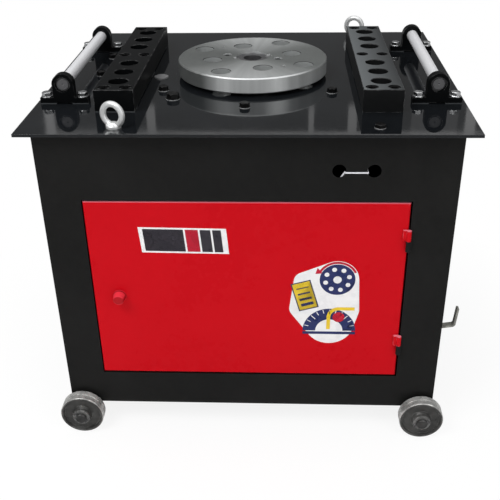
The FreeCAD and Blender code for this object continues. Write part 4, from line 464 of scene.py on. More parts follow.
rim, place, facing, end = mask_group("disc painted light")
angle = calc(rim, "ARCTAN2", place["Y"], place["X"])
away = distance(rim, place["X"], place["Y"])
level = calc(rim, "ABSOLUTE", facing["Z"])
inputs = {"W": angle, "Scale": 5, "Detail": 3}
streaks = add(rim, "ShaderNodeTexNoise", inputs, noise_dimensions="1D").outputs["Fac"]
fine = ramp(rim, streaks, 0.35, 0.65, 0.78, 1.0)
start = ramp(rim, angle, -2.25, -1.98, 0.05, 1.0)
outer = ramp(rim, away, 0.150, 0.160)
bands = product(rim, start, ramp(rim, angle, -1.3, 3.14, 1.0, 0.05), fine)
upright_light = product(rim, mix(rim, outer, LIT_HOLE_WALLS, bands), ramp(rim, level, 0.75, 0.5))
sine = calc(rim, "ABSOLUTE", calc(rim, "DIVIDE", place["Y"], away))
sheen_wedge = calc(rim, "POWER", ramp(rim, sine, 0.42, 1.0), 1.5)
reach = ramp(rim, away, 0.02, 0.15, 0.32, 0.82)
faces = product(rim, sheen_wedge, reach, ramp(rim, level, 0.85, 0.97), fine)
slope = product(rim, ramp(rim, level, 0.40, 0.60), ramp(rim, level, 0.95, 0.85))
edge = product(rim, slope, outer, start, ramp(rim, angle, -1.2, -0.6, 1.0, 0.2))
bright = calc(rim, "MAXIMUM", calc(rim, "ADD", upright_light, faces), edge)
rim.links.new(bright, end)
overlay("disc_steel", rim, (0.74, 0.76, 0.76), 0.30, 0.40)

# %% [markdown]
# Painted shade darkens the small chamfers round the openings of the pin holes. A wheel's
# tread is worn bright by the floor, and its mask is the distance from the axle.

# %% Overlays on hole mouths and treads
AXLE_SIDE, AXLE_HEIGHT = 0.395, 0.05

mouth_shade, place, facing, end = mask_group("hole mouth shade")
steep = ramp(mouth_shade, facing["Z"], 0.20, 0.40)
sloping = ramp(mouth_shade, facing["Z"], 0.985, 0.93)
inside = ramp(mouth_shade, distance(mouth_shade, place["X"], place["Y"]), 0.160, 0.155)
mouth_shade.links.new(product(mouth_shade, steep, sloping, inside), end)
overlay("disc_steel", mouth_shade, (0.012, 0.013, 0.013), 0.60, 0.0)

treads, place, facing, end = mask_group("treads")
across = calc(treads, "SUBTRACT", calc(treads, "ABSOLUTE", place["X"]), AXLE_SIDE)
up = calc(treads, "SUBTRACT", place["Z"], AXLE_HEIGHT)
outside = ramp(treads, distance(treads, across, up), 0.0480, 0.0488)
patchy = ramp(treads, noise(treads, object_place(treads), 60), 0.40, 0.60, 0.45, 1.0)
treads.links.new(product(treads, patchy, outside), end)
overlay("wheel_iron", treads, (0.70, 0.70, 0.68), 0.26, 0.5)

# %% [markdown]
# Each CAD node already names its finish, so the new materials go into the same slots. Four
# nodes get a finish of their own: the right bar's carries painted sheen, and the other three
# look different from others of their metal.

# %% Put the finishes on the CAD nodes
OWN_FINISH = {
    "right_hole_bar": "sheen_bar",
    "cable_hook": "hook_steel",
    "wheel_washers": "dull_washer",
    "axles": "axle_steel",
}
for name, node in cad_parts.items():
    for slot in node.material_slots:
        key = OWN_FINISH.get(name, slot.material.name.split(".")[0])
        slot.material = finishes[key]
print("finishes on", len(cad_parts), "nodes")

# %% [markdown]
# Plain studio light. The sky is bright overhead and darker towards the horizon, so the
# glossy table mirrors something dark and the rollers something bright. The camera itself
# sees white.

# %% Sky
world = bpy.data.worlds.new("sky")
bpy.context.scene.world = world
world.use_nodes = True
sky_tree = world.node_tree
sky = sky_tree.nodes["Background"]
look = add(sky_tree, "ShaderNodeTexCoord").outputs["Generated"]
rise = add(sky_tree, "ShaderNodeSeparateXYZ", {0: look}).outputs["Z"]
overhead = ramp(sky_tree, rise, 0.60, 0.80, 0.13, 1.25)
below = ramp(sky_tree, rise, -0.02, 0.02, 3, 1.0)
camera_ray = add(sky_tree, "ShaderNodeLightPath").outputs["Is Camera Ray"]
seen = mix(sky_tree, camera_ray, product(sky_tree, overhead, below), 1.0)
sky_tree.links.new(seen, sky.inputs["Color"])
sky.inputs["Strength"].default_value = 1.0
print("sky", world.name)

# %% [markdown]
# The floor is pale and matt, takes the machine's shadow, and fades to white away from the
# machine. It is left out of reflections, so the cabinet stays black down to its foot.

# %% Floor
FLOOR = 6
corners = [(-FLOOR, -FLOOR, 0), (FLOOR, -FLOOR, 0), (FLOOR, FLOOR, 0), (-FLOOR, FLOOR, 0)]
floor_mesh = bpy.data.meshes.new("floor")
floor_mesh.from_pydata(corners, [], [(0, 1, 2, 3)])
floor = linked("floor", floor_mesh)
floor_paint = bpy.data.materials.new("floor_paint")
floor_paint.use_nodes = True
tree = floor_paint.node_tree
pale = tree.nodes["Principled BSDF"]
pale.inputs["Base Color"].default_value = (1.0, 1.0, 1.0, 1.0)
pale.inputs["Roughness"].default_value = 0.9
pale.inputs["Specular IOR Level"].default_value = 0.0
reach = add(tree, "ShaderNodeVectorMath", {0: object_place(tree)}, operation="LENGTH")
fade = ramp(tree, reach.outputs["Value"], 0.45, 0.95, 0.86)
camera_ray = add(tree, "ShaderNodeLightPath").outputs["Is Camera Ray"]
shown = product(tree, fade, camera_ray)
white = add(tree, "ShaderNodeEmission", {"Color": (1.0, 1.0, 1.0, 1.0), "Strength": 1.0})
inputs = {0: shown, 1: pale.outputs["BSDF"], 2: white.outputs["Emission"]}
blend = add(tree, "ShaderNodeMixShader", inputs)
tree.links.new(blend.outputs["Shader"], tree.nodes["Material Output"].inputs["Surface"])
floor_mesh.materials.append(floor_paint)
floor.visible_glossy = False
print("floor", floor.dimensions.x, "m wide")

# %% [markdown]
# Two soft lamps. The key stands high on the left in front, and a weaker one fills from
# the right.

# %% Lamps
def lamp(name, place, aim, size, power):
    data = bpy.data.lights.new(name, "AREA")
    data.shape = "RECTANGLE"
    data.size, data.size_y = size
    data.energy = power
    made = linked(name, data)
    made.location = place
    made.rotation_euler = (Vector(aim) - Vector(place)).to_track_quat("-Z", "Y").to_euler()
    made.visible_camera = False
    print("lamp", name, round(power, 3), "W")


lamp("key", (-1.6, -1.8, 3), (0.0, 0.0, 0.5), (1.6, 1.6), 60)
lamp("fill", (2, -2.4, 2), (0.0, 0.0, 0.5), (1.6, 1.6), 20)

# %% [markdown]
# The glossy table also mirrors upright strips of light behind the machine. Each is a tall
# narrow lamp, so weak that it only shows in reflections.

# %% Strips of light behind the machine
def strip(name, x, y, z, width, height, bright):
    """A lamp of an even brightness that looks straight at the machine."""
    lamp(name, (x, y, z), (x, 0.0, z), (width, height), bright * math.pi * width * height)


STRIPS = ((-1.26, 0.055, 0.55), (-0.68, 0.05, 0.40), (0.225, 0.03, 0.40), (0.455, 0.05, 0.42),
          (1.11, 0.06, 0.55))
for number, (x, width, bright) in enumerate(STRIPS):
    strip("strip_%d" % number, x, 2.4, 1.80, width, 0.30, bright)
strip("long_strip", -0.05, 2.4, 1.822, 2.5, 0.028, 0.48)
strip("wide_strip", 0.92, 2.45, 1.76, 0.26, 0.26, 0.10)

# %% [markdown]
# Screws repeat, so Geometry Nodes make them. First a few helpers for the trees: one lifts
# a shape, one gives shapes a material, and one plants a finished shape on every point, each
# turned a little differently, as a spanner leaves them. A fixed seed keeps the turns.

# %% Helpers for the screw trees
FULL_TURN = 6.28


def lifted(tree, shape, height):
    place = add(tree, "ShaderNodeCombineXYZ", {"Z": height}).outputs["Vector"]
    moved = add(tree, "GeometryNodeTransform", {"Geometry": shape, "Translation": place})
    return moved.outputs["Geometry"]


def joined(tree, shapes):
    together = add(tree, "GeometryNodeJoinGeometry")
    for shape in shapes:
        tree.links.new(shape, together.inputs["Geometry"])
    return together.outputs["Geometry"]


def dressed(tree, shapes, material):
    inputs = {"Geometry": joined(tree, shapes), "Material": material}
    return add(tree, "GeometryNodeSetMaterial", inputs).outputs["Geometry"]


def planted(tree, given, shapes, out):
    inputs = {2: 0.0, 3: FULL_TURN, "Seed": given["Seed"]}
    spin = add(tree, "FunctionNodeRandomValue", inputs, data_type="FLOAT").outputs[1]
    turned = add(tree, "ShaderNodeCombineXYZ", {"Z": spin}).outputs["Vector"]
    inputs = {"Points": given["Points"], "Instance": joined(tree, shapes), "Rotation": turned}
    spread = add(tree, "GeometryNodeInstanceOnPoints", inputs).outputs["Instances"]
    real = add(tree, "GeometryNodeRealizeInstances", {"Geometry": spread}).outputs["Geometry"]
    tree.links.new(real, out.inputs["Geometry"])


print("a screw's turn is up to", FULL_TURN, "radians")

# %% [markdown]
# The top edge of a screw's head is cut by a cone. On a six-sided head this leaves the
# curved chamfer that every real one has, so the tree makes the same cut. A washer is a
# section with rounded corners that is swept round a circle.

# %% Helpers for heads and washers
WASHER_ROUND = 0.0004


def cut_head(tree, sides, radius, flat, height, slope):
    inputs = {"Vertices": sides, "Radius": radius, "Depth": height}
    prism = add(tree, "GeometryNodeMeshCylinder", inputs).outputs["Mesh"]
    upright = lifted(tree, prism, product(tree, height, 0.5))
    wide = calc(tree, "ADD", flat, product(tree, height, slope))
    inputs = {"Vertices": 32, "Radius Top": flat, "Radius Bottom": wide, "Depth": height}
    cone = add(tree, "GeometryNodeMeshCone", inputs).outputs["Mesh"]
    both = add(tree, "GeometryNodeMeshBoolean", operation="INTERSECT", solver="EXACT")
    tree.links.new(upright, both.inputs["Mesh 2"])
    tree.links.new(cone, both.inputs["Mesh 2"])
    return both.outputs["Mesh"]


def soft_ring(tree, radius, hole, thickness):
    width = calc(tree, "SUBTRACT", radius, hole)
    middle = product(tree, calc(tree, "ADD", radius, hole), 0.5)
    inputs = {"Resolution": 36, "Radius": middle}
    path = add(tree, "GeometryNodeCurvePrimitiveCircle", inputs).outputs["Curve"]
    inputs = {"Width": width, "Height": thickness}
    section = add(tree, "GeometryNodeCurvePrimitiveQuadrilateral", inputs).outputs["Curve"]
    inputs = {"Curve": section, "Radius": WASHER_ROUND, "Count": 2}
    soft = add(tree, "GeometryNodeFilletCurve", inputs, mode="POLY").outputs["Curve"]
    inputs = {"Curve": path, "Profile Curve": soft}
    swept = add(tree, "GeometryNodeCurveToMesh", inputs).outputs["Mesh"]
    return lifted(tree, swept, product(tree, thickness, 0.5))


def shank(tree, radius, length, top):
    inputs = {"Vertices": 20, "Radius": radius, "Depth": length}
    rod = add(tree, "GeometryNodeMeshCylinder", inputs).outputs["Mesh"]
    return lifted(tree, rod, calc(tree, "SUBTRACT", top, product(tree, length, 0.5)))


print("washer corners rounded by", WASHER_ROUND, "m")

# %% [markdown]
# A hex bolt stands on its washer. The tree's inputs are the sizes that a fitter would ask
# for, with the width across the flats among them. A hexagon's corners lie 0.5774 of that
# width from its middle. The washer has a material of its own.

# %% Tree: hex bolt on a washer
GEOMETRY = "NodeSocketGeometry"
MATERIAL = "NodeSocketMaterial"
SHARED = {"Points": (GEOMETRY, None), "Material": (MATERIAL, None), "Seed": ("NodeSocketInt", 3)}
HEX_CORNER = 0.5774
HEX_FLAT_TOP, HEX_SLOPE = 0.46, 1.9

hex_tree, given, out = new_group(
    "hex_bolts",
    {**SHARED, "Flats": (FLOAT, 0.0185), "Head": (FLOAT, 0.008), "Shank": (FLOAT, 0.006),
     "Washer": (FLOAT, 0.012), "Washer Thickness": (FLOAT, 0.0025), "Length": (FLOAT, 0.02),
     "Washer Material": (MATERIAL, None)},
    {"Geometry": GEOMETRY},
    kind="GeometryNodeTree",
)
given = given.outputs
corner = product(hex_tree, given["Flats"], HEX_CORNER)
flat = product(hex_tree, given["Flats"], HEX_FLAT_TOP)
head = cut_head(hex_tree, 6, corner, flat, given["Head"], HEX_SLOPE)
head = lifted(hex_tree, head, given["Washer Thickness"])
washer = soft_ring(hex_tree, given["Washer"], given["Shank"], given["Washer Thickness"])
rod = shank(hex_tree, given["Shank"], given["Length"], given["Washer Thickness"])
bolt = dressed(hex_tree, [head, rod], given["Material"])
ring = dressed(hex_tree, [washer], given["Washer Material"])
planted(hex_tree, given, [bolt, ring], out)

# %% [markdown]
# A socket screw has a round head with a six-sided hole for the key. The hole is a prism
# that is taken out of the head, sunk to its depth from the top.

# %% Tree: socket head screw
SOCKET_FLAT_TOP, SOCKET_SLOPE = 0.86, 1.0

socket_tree, given, out = new_group(
    "socket_screws",
    {**SHARED, "Radius": (FLOAT, 0.012), "Head": (FLOAT, 0.016), "Shank": (FLOAT, 0.008),
     "Length": (FLOAT, 0.05), "Socket": (FLOAT, 0.014), "Socket Depth": (FLOAT, 0.008)},
    {"Geometry": GEOMETRY},
    kind="GeometryNodeTree",
)
given = given.outputs
flat = product(socket_tree, given["Radius"], SOCKET_FLAT_TOP)
head = cut_head(socket_tree, 32, given["Radius"], flat, given["Head"], SOCKET_SLOPE)
corner = product(socket_tree, given["Socket"], HEX_CORNER)
depth = product(socket_tree, given["Socket Depth"], 2)
inputs = {"Vertices": 6, "Radius": corner, "Depth": depth}
key = add(socket_tree, "GeometryNodeMeshCylinder", inputs).outputs["Mesh"]
hollowed = add(socket_tree, "GeometryNodeMeshBoolean", {"Mesh 1": head},
               operation="DIFFERENCE", solver="EXACT")
socket_tree.links.new(lifted(socket_tree, key, given["Head"]), hollowed.inputs["Mesh 2"])
rod = shank(socket_tree, given["Shank"], given["Length"], 0.0)
screw = dressed(socket_tree, [hollowed.outputs["Mesh"], rod], given["Material"])
planted(socket_tree, given, [screw], out)

# %% [markdown]
# The places of the screws are points of a small mesh. The tree grows on them, and the
# result is kept as a plain mesh in the object's place, so nothing live is left on it. Most
# screws are black and ride on the base.

# %% Helper that grows screws on their places
def shade(mesh, degrees=32):
    mesh.shade_smooth()
    mesh.set_sharp_from_angle(angle=math.radians(degrees))


def settle(piece, body, replaced):
    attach(piece, body)
    if replaced:
        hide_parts(*replaced)
    print(piece.name, len(piece.data.polygons), "faces on", body)


def evaluated(piece):
    """The mesh that a piece's modifiers make of it."""
    ready = piece.evaluated_get(bpy.context.evaluated_depsgraph_get())
    return bpy.data.meshes.new_from_object(ready)


def grow(name, places, tree, replaced, slot="black_oxide", body="base", **sizes):
    seeds = bpy.data.meshes.new(name + "_places")
    seeds.from_pydata([Vector(place) / 1000 for place in places], [], [])
    piece = linked(name, seeds)
    grown = piece.modifiers.new("grow", "NODES")
    grown.node_group = tree
    values = {label.replace("_", " "): size / 1000 for label, size in sizes.items()}
    values["Material"] = finishes[slot]
    # Washers of black bolts take the finish with the painted highlight on its lower edge.
    values["Washer Material"] = finishes["lit_black_washer" if slot == "black_oxide" else slot]
    for item in tree.interface.items_tree:
        if item.item_type == "SOCKET" and item.in_out == "INPUT" and item.name in values:
            grown[item.identifier] = values[item.name]
    mesh = evaluated(piece)
    piece.modifiers.clear()
    piece.data = mesh
    shade(mesh)
    settle(piece, body, [replaced])


print("helpers for screws")

# %% [markdown]
# All places are in millimetres, as on a drawing. The table's bolts are black: five hang
# the gearbox, a larger one stands among them, and two carry the motor's hanger.

# %% Black bolts on the table
TABLE_TOP = 746
M12 = dict(Flats=18.5, Head=8, Shank=6, Washer=12, Washer_Thickness=2.5)
M16 = dict(Flats=24, Head=10, Shank=8, Washer=15.5, Washer_Thickness=3)

gearbox_places = [(-192, -117), (-8, -228), (177, -132), (-90, 208), (90, 208)]
gearbox_places = [(x, y, TABLE_TOP) for x, y in gearbox_places]
grow("gearbox_bolt_heads", gearbox_places, hex_tree, "gearbox_bolts", Length=20.5, **M12)
grow("large_bolt_head", [(-164, -173, TABLE_TOP)], hex_tree, "gearbox_bolts", Length=21, **M16)
low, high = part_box("hanger_bolts")
hanger_x = (low.x + high.x) * 500
hanger_places = [(hanger_x, y, TABLE_TOP) for y in (-5, 139)]
grow("hanger_bolt_heads", hanger_places, hex_tree, "hanger_bolts", Length=18.5, **M12)

# %% [markdown]
# Each roller block is held by two zinc-plated bolts through its foot, bright against the
# dark steel.

# %% Bright bolts of the roller blocks
FOOT_HEIGHT = 13
block_places = [
    (side * 390 + spread, end * 198, TABLE_TOP + FOOT_HEIGHT)
    for side in (-1, 1) for end in (-1, 1) for spread in (-38, 38)
]
grow("roller_block_bolt_heads", block_places, hex_tree, "roller_block_bolts", slot="zinc",
     Length=21.5, **M12)

# %% [markdown]
# The bars are held by socket screws sunk in counterbores, six in each. Two smaller ones
# hold the disc to the spindle. The screws at two corners of the table have low heads.

# %% Socket screws
BAR_SEAT, DISC_SEAT = 775, 774
bar_places = [
    (side * 273 + across, y, BAR_SEAT)
    for side in (-1, 1) for y in (-241, 0, 241) for across in (-22.5, 22.5)
]
grow("bar_socket_screws", bar_places, socket_tree, "hole_bar_screws",
     Radius=12, Head=16, Shank=8, Length=50, Socket=14, Socket_Depth=8)
across = 60.8 * Vector((math.cos(math.radians(-15.5)), math.sin(math.radians(-15.5))))
disc_places = [(side * across.x, side * across.y, DISC_SEAT) for side in (1, -1)]
grow("disc_socket_screws", disc_places, socket_tree, "disc_screws", body="disc",
     Radius=9, Head=12, Shank=6, Length=27, Socket=10, Socket_Depth=6)
corner_places = [(259, -346, TABLE_TOP), (-259, 346, TABLE_TOP)]
grow("corner_bolt_heads", corner_places, hex_tree, "corner_screws",
     Flats=19, Head=5.5, Shank=8, Washer=11.5, Washer_Thickness=2.5, Length=29.5)

# %% [markdown]
# Turned pieces come from one profile. Each (radius, height) point becomes a ring of
# corners, and neighbouring rings are joined with faces.

# %% Helper that turns a profile
def around(steps):
    return [2 * math.pi * i / steps for i in range(steps)]


def lathe(profile, steps=64):
    shape = bmesh.new()
    rings = []
    for radius, height in profile:
        turns = around(steps) if radius else [0.0]
        rings.append([
            shape.verts.new((radius * math.cos(a), radius * math.sin(a), height)) for a in turns
        ])
    for near, far in zip(rings, rings[1:]):
        for i in range(steps):
            j = (i + 1) % steps
            corners = [near[i % len(near)], near[j % len(near)],
                       far[j % len(far)], far[i % len(far)]]
            shape.faces.new(dict.fromkeys(corners))
    return shape


def finished(name, shape, slot, body, replaced=(), degrees=32):
    """A bmesh in millimetres becomes a piece in metres."""
    bmesh.ops.remove_doubles(shape, verts=shape.verts, dist=1e-5)
    bmesh.ops.recalc_face_normals(shape, faces=shape.faces)
    bmesh.ops.scale(shape, vec=(0.001, 0.001, 0.001), verts=shape.verts)
    mesh = bpy.data.meshes.new(name)
    shape.to_mesh(mesh)
    shape.free()
    shade(mesh, degrees)
    mesh.materials.append(finishes[slot])
    piece = linked(name, mesh)
    settle(piece, body, replaced)
    return piece


print("helpers for turned pieces")

# %% [markdown]
# The latch knob is a short turned handle with a rounded nose, a neck and a thin flange
# against the door. Its stem goes through the sheet to the tongue behind it.

# %% Latch knob
KNOB_PROFILE = [
    (0, -24.5), (5, -24.5), (5, -20.5), (9, -20.5), (9, -2.3), (5, -2.3), (5, 0.3),
    (14.5, 0.3), (14.5, 0.9), (14, 1.3), (8, 1.3), (8, 4.2), (13, 4.2), (13.6, 4.9),
    (11.6, 18.6), (11.2, 19.8), (10.2, 20.6), (9, 21), (0, 20.8),
]
DOOR_FACE = -358
knob = lathe(KNOB_PROFILE, 48)
forwards = Matrix.Rotation(math.radians(90), 3, "X")
bmesh.ops.rotate(knob, cent=(0, 0, 0), matrix=forwards, verts=knob.verts)
bmesh.ops.translate(knob, vec=(-281.5, DOOR_FACE, 362.5), verts=knob.verts)
latch_knob = finished("latch_knob", knob, "door_paint", "latch", ["door_knob"])
latch_knob.data.materials[0] = finishes["shaded_knob_red"]

# %% [markdown]
# A lifting eye is forged in one piece: the ring flows into its collar without a seam. A
# ring and a turned collar are merged by a voxel remesh, and a smooth modifier then melts
# the joint, as forging does.

# %% Helpers for a forged ring
def tube_ring(middle, axis, radius, wire, steps=72, sides=24):
    shape = bmesh.new()
    u = axis.orthogonal().normalized()
    v = axis.cross(u)
    loops = []
    for a in around(steps):
        outwards = u * math.cos(a) + v * math.sin(a)
        loops.append([
            shape.verts.new(middle + outwards * (radius + wire * math.cos(b))
                            + axis * (wire * math.sin(b)))
            for b in around(sides)
        ])
    for i in range(steps):
        for k in range(sides):
            j, m = (i + 1) % steps, (k + 1) % sides
            shape.faces.new((loops[i][k], loops[j][k], loops[j][m], loops[i][m]))
    return shape


def held(shape):
    """An object that holds a shape while modifiers work on it."""
    mesh = bpy.data.meshes.new("raw")
    bmesh.ops.recalc_face_normals(shape, faces=shape.faces)
    shape.to_mesh(mesh)
    return linked("raw", mesh)


def melted(shape, voxel, rounds):
    """Merges the overlapping parts of a shape and smooths the joint."""
    raw = held(shape)
    merge = raw.modifiers.new("merge", "REMESH")
    merge.mode, merge.voxel_size = "VOXEL", voxel
    ease = raw.modifiers.new("ease", "SMOOTH")
    ease.factor, ease.iterations = 0.5, rounds
    shape.clear()
    shape.from_mesh(evaluated(raw))
    bpy.data.objects.remove(raw)


print("helpers for a ring and its joint")

# %% [markdown]
# The foot of each eye is cut flat where it sits on the table, and closed again. A plain
# stem goes down through the table. Both eyes are turned the same way.

# %% Lifting eyes
EYE_COLLAR = [(0, -3), (15, -3), (15, 4.9), (14.2, 6.1), (12, 6.8), (9.5, 7.8), (7.5, 9.6),
              (6, 11.2), (0, 11.2)]
EYE_STEM = [(0, -27), (6, -27), (6, 0), (0, 0)]
EYE_RADIUS, EYE_WIRE, EYE_MIDDLE = 21.3, 6.2, 26
aim = math.radians(69)
eyes = bmesh.new()
spare = bpy.data.meshes.new("spare")
for x, y in ((-259, -346), (259, 346)):
    axis = Vector((math.cos(aim), math.sin(aim), 0.0))
    eye = tube_ring(Vector((0, 0, EYE_MIDDLE)), axis, EYE_RADIUS, EYE_WIRE)
    lathe(EYE_COLLAR, 48).to_mesh(spare)
    eye.from_mesh(spare)
    melted(eye, 0.9, 4)
    whole = eye.verts[:] + eye.edges[:] + eye.faces[:]
    foot = bmesh.ops.bisect_plane(eye, geom=whole, plane_co=(0, 0, 0), plane_no=(0, 0, -1),
                                  clear_outer=True)
    rim = [item for item in foot["geom_cut"] if isinstance(item, bmesh.types.BMEdge)]
    bmesh.ops.contextual_create(eye, geom=rim)
    lathe(EYE_STEM, 24).to_mesh(spare)
    eye.from_mesh(spare)
    bmesh.ops.translate(eye, vec=(x, y, TABLE_TOP), verts=eye.verts)
    eye.to_mesh(spare)
    eyes.from_mesh(spare)
eyes = finished("lifting_eyes", eyes, "zinc", "base", ["eye_bolts"], 50)
eyes.data.materials[0] = finishes["forged_zinc"]

# %% [markdown]
# A split pin is one half-round wire folded double: an eye at the fold keeps it in the
# axle, and the two ends are bent apart on the other side. A curve follows the wire, with
# its points given along the pin and across it. Its two halves mirror each other.

# %% Split pins
HALF = [(17, 6), (15.6, 3.2), (13.6, 1), (5, 1), (-10, 1), (-13.4, 1.2), (-15, 3.2), (-18, 3.4)]
WIRE = HALF + [(-20, 0)] + [(along, -across) for along, across in reversed(HALF)]
WIRE_RADIUS, PIN_Y = 0.95, 403.25
pins = bmesh.new()
for side, end in ((-1, -1), (-1, 1), (1, -1), (1, 1)):
    tilt = math.radians(-40 if side < 0 else 25)
    bent = bpy.data.curves.new("pin", "CURVE")
    bent.dimensions = "3D"
    bent.bevel_depth, bent.bevel_resolution = WIRE_RADIUS, 3
    bent.resolution_u, bent.use_fill_caps = 5, True
    line = bent.splines.new("NURBS")
    line.points.add(len(WIRE) - 1)
    for point, (along, across) in zip(line.points, WIRE):
        x = along * math.cos(tilt) - across * math.sin(tilt)
        z = along * math.sin(tilt) + across * math.cos(tilt)
        point.co = (side * 395 + x, end * PIN_Y, 50 + z, 1.0)
    line.order_u, line.use_endpoint_u = 3, True
    holder = linked("pin", bent)
    pins.from_mesh(evaluated(holder))
    bpy.data.objects.remove(holder)
finished("bent_split_pins", pins, "dark_steel", "base", ["split_pins"], 60)

# %% [markdown]
# The strap is a flat band that passes through both cable holes of the front panel. It
# crosses between them on the outside, and one end slants away behind the sheet. Two plain
# prisms are made, and a Boolean modifier joins them into one closed band.

# %% Helpers for the cable strap
def extruded(outline, way):
    shape = bmesh.new()
    near = [shape.verts.new(Vector(point)) for point in outline]
    far = [shape.verts.new(Vector(point) + Vector(way)) for point in outline]
    shape.faces.new(near)
    shape.faces.new(far)
    for i in range(len(near)):
        shape.faces.new((near[i - 1], near[i], far[i], far[i - 1]))
    return shape


def united(first, second):
    whole, added = held(first), held(second)
    join = whole.modifiers.new("join", "BOOLEAN")
    join.operation, join.object = "UNION", added
    first.clear()
    first.from_mesh(evaluated(whole))
    for holder in (whole, added):
        bpy.data.objects.remove(holder)
    return first


print("helpers for a prism and a union")

# %% [markdown]
# The outline of the crossing is seen from above: outside the panel from hole to hole, then
# back in at both ends. The slanting end is given along the strap and across it.

# %% Cable strap
HALF_WIDTH, THICK, LEVEL = 1.5, 1.3, 656.5
OUTLINE = [(194.6, -359.6), (241.2, -359.6), (241.2, -334.4), (239.9, -334.4),
           (239.9, -358.3), (195.9, -358.3), (195.9, -354.4), (194.6, -354.4)]
TAIL = [(-1.3, -HALF_WIDTH), (42, -HALF_WIDTH), (42, HALF_WIDTH), (-1.3, HALF_WIDTH)]
crossing = [(x, y, LEVEL - HALF_WIDTH) for x, y in OUTLINE]
slant = math.radians(57)
down = Vector((-math.cos(slant), 0, -math.sin(slant)))
over = Vector((math.sin(slant), 0, -math.cos(slant)))
start = Vector((194.6, -355.7, LEVEL))
tail = [start + down * along + over * across for along, across in TAIL]
strap = united(extruded(crossing, (0, 0, 2 * HALF_WIDTH)), extruded(tail, (0, THICK, 0)))
finished("nylon_strap", strap, "strap_white", "base", ["cable_strap"])

# %% [markdown]
# The door carries two plain stickers of thin vinyl in five colours. The printed colours
# are a little duller than the white.

# %% Vinyl finishes
VINYL = ["vinyl_white", "vinyl_black", "vinyl_navy", "vinyl_yellow", "vinyl_red"]
WHITE, BLACK, NAVY, YELLOW, RED = VINYL
PRINTED = [
    ((0.030, 0.028, 0.036), (0.045, 0.040, 0.050)),
    ((0.020, 0.030, 0.110), (0.030, 0.040, 0.140)),
    ((0.80, 0.56, 0.03), (0.86, 0.62, 0.05)),
    ((0.50, 0.010, 0.030), (0.56, 0.014, 0.040)),
]
finish(WHITE, (0.80, 0.80, 0.81), (0.88, 0.88, 0.88), rough=(0.22, 0.34), bump=(300, 0.04),
       specular=0.3, size=30)
for name, (colour, drift) in zip(VINYL[1:], PRINTED):
    finish(name, colour, drift, rough=(0.25, 0.38), bump=(300, 0.04), specular=0.2, size=30)
print(len(VINYL), "colours of vinyl")

# %% [markdown]
# Each sticker is made of flat layers that lie on the paint, and one layer lies on the
# next. A layer is cut from an outline in the plane of the door, across and up, in
# millimetres. The outlines are circles, pieces of a ring, and rectangles.

# %% Helpers that cut vinyl
LAYER = 0.12


def film(shape, outline, layer, colour):
    low, high = DOOR_FACE - LAYER * layer, DOOR_FACE - LAYER * (layer + 1)
    back = [shape.verts.new((x, low, z)) for x, z in outline]
    front = [shape.verts.new((x, high, z)) for x, z in outline]
    faces = [shape.faces.new(front), shape.faces.new(list(reversed(back)))]
    for i in range(len(outline)):
        j = (i + 1) % len(outline)
        faces.append(shape.faces.new((back[i], back[j], front[j], front[i])))
    for face in faces:
        face.material_index = VINYL.index(colour)


def circle(x, z, radius, steps=40):
    return [(x + radius * math.cos(a), z + radius * math.sin(a)) for a in around(steps)]


def band(x, z, inner, outer, start, end, steps=24):
    """Piece of a ring between two angles."""
    turns = [math.radians(start + (end - start) * i / steps) for i in range(steps + 1)]
    far = [(x + outer * math.cos(a), z + outer * math.sin(a)) for a in turns]
    near = [(x + inner * math.cos(a), z + inner * math.sin(a)) for a in reversed(turns)]
    return far + near


def slab(x, z, width, height, tilt=0.0, slant=0.0):
    """Rectangle about its middle, turned by a tilt and leaned by a slant."""
    cos, sin = math.cos(math.radians(tilt)), math.sin(math.radians(tilt))
    w, h = width / 2, height / 2
    corners = [(-w, -h), (w, -h), (w + slant, h), (-w + slant, h)]
    return [(x + p * cos - q * sin, z + p * sin + q * cos) for p, q in corners]


def sticker(name, shape):
    piece = finished(name, shape, "door_paint", "door")
    piece.data.materials[0] = finishes[WHITE]
    for colour in VINYL[1:]:
        piece.data.materials.append(finishes[colour])


print("vinyl layers of", LAYER, "mm")

# %% [markdown]
# The upper one is a dark stripe with a white outline, broken into slanted blocks towards
# its right end, with one block in red.

# %% Striped sticker
STRIPE_X, STRIPE_Z, STRIPE_TILT = -131, 500.5, -0.8
BLOCKS = [(-172.5, 85, BLACK), (-112.5, 27, RED), (-84, 22, BLACK), (-60, 18, BLACK)]
stripe = bmesh.new()
film(stripe, slab(STRIPE_X, STRIPE_Z, 184, 60, STRIPE_TILT, -6), 0, WHITE)
for x, width, colour in BLOCKS:
    z = STRIPE_Z - 0.014 * (x - STRIPE_X)
    film(stripe, slab(x, z, width, 52, STRIPE_TILT, -5), 1, colour)
sticker("striped_sticker", stripe)

# %% [markdown]
# The lower one shows what the machine does: a bar bent round the disc over a protractor,
# with a yellow card of bar sizes beside it. A white backing, wrapped round all of it,
# makes the usual cut edge. First come the backing and the card.

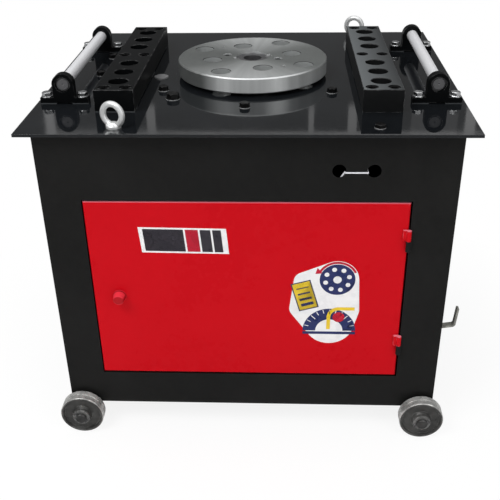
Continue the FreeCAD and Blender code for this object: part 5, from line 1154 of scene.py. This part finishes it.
# %% Bending sticker: backing and card
CARD_X, CARD_Z, CARD_TILT = 121, 367, 16
WRAPPED = [(190, 408, 46), (176, 296, 54), (119, 404, 22), (112, 334, 24), (214, 330, 26)]
guide = bmesh.new()
spread = [point for x, z, radius in WRAPPED for point in circle(x, z, radius)]
film(guide, [spread[i] for i in geometry.convex_hull_2d(spread)], 0, WHITE)
film(guide, slab(CARD_X, CARD_Z, 44, 72, CARD_TILT), 1, NAVY)
film(guide, slab(CARD_X, CARD_Z, 39, 67, CARD_TILT), 2, YELLOW)
a = math.radians(CARD_TILT)
for row, weight in enumerate((2.5, 4, 5.5, 7)):
    drop = 20 - 14 * row
    x, z = CARD_X - drop * math.sin(a), CARD_Z + drop * math.cos(a)
    film(guide, slab(x, z, 27, weight, CARD_TILT), 3, NAVY)
print("card with 4 bars")

# %% [markdown]
# Then the disc with its holes and a red arrow, and below it the protractor with a yellow
# bar that bends round a red pin.

# %% Bending sticker: disc, scale and bent bar
DISC_X, DISC_Z, SCALE_X, SCALE_Z = 190, 408, 176, 276
film(guide, circle(DISC_X, DISC_Z, 38), 1, NAVY)
for i in range(8):
    a = math.radians(16 + 45 * i)
    x, z = DISC_X + 26 * math.cos(a), DISC_Z + 26 * math.sin(a)
    film(guide, circle(x, z, 5.2, 20), 2, WHITE)
film(guide, circle(DISC_X, DISC_Z, 9, 28), 2, WHITE)
film(guide, band(DISC_X, DISC_Z, 39.5, 44.5, 25, 150), 1, RED)
film(guide, [(147, 437), (158.5, 424), (142.5, 422)], 1, RED)
film(guide, band(SCALE_X, SCALE_Z, 30, 58, 0, 180, 36), 1, NAVY)
for i in range(1, 12):
    a = math.radians(15 * i)
    reach = 47 if i % 3 else 43
    middle = (reach + 56) / 2
    x, z = SCALE_X + middle * math.cos(a), SCALE_Z + middle * math.sin(a)
    film(guide, slab(x, z, 56 - reach, 1.6, 15 * i), 2, WHITE)
film(guide, slab(SCALE_X, 270, 116, 7), 1, NAVY)
film(guide, band(196, 312, 18, 26, 90, 180), 2, YELLOW)
film(guide, slab(174, 296, 8, 32), 2, YELLOW)
film(guide, slab(213, 334, 34, 8), 2, YELLOW)
film(guide, circle(196, 312, 13, 28), 2, RED)
sticker("bending_sticker", guide)
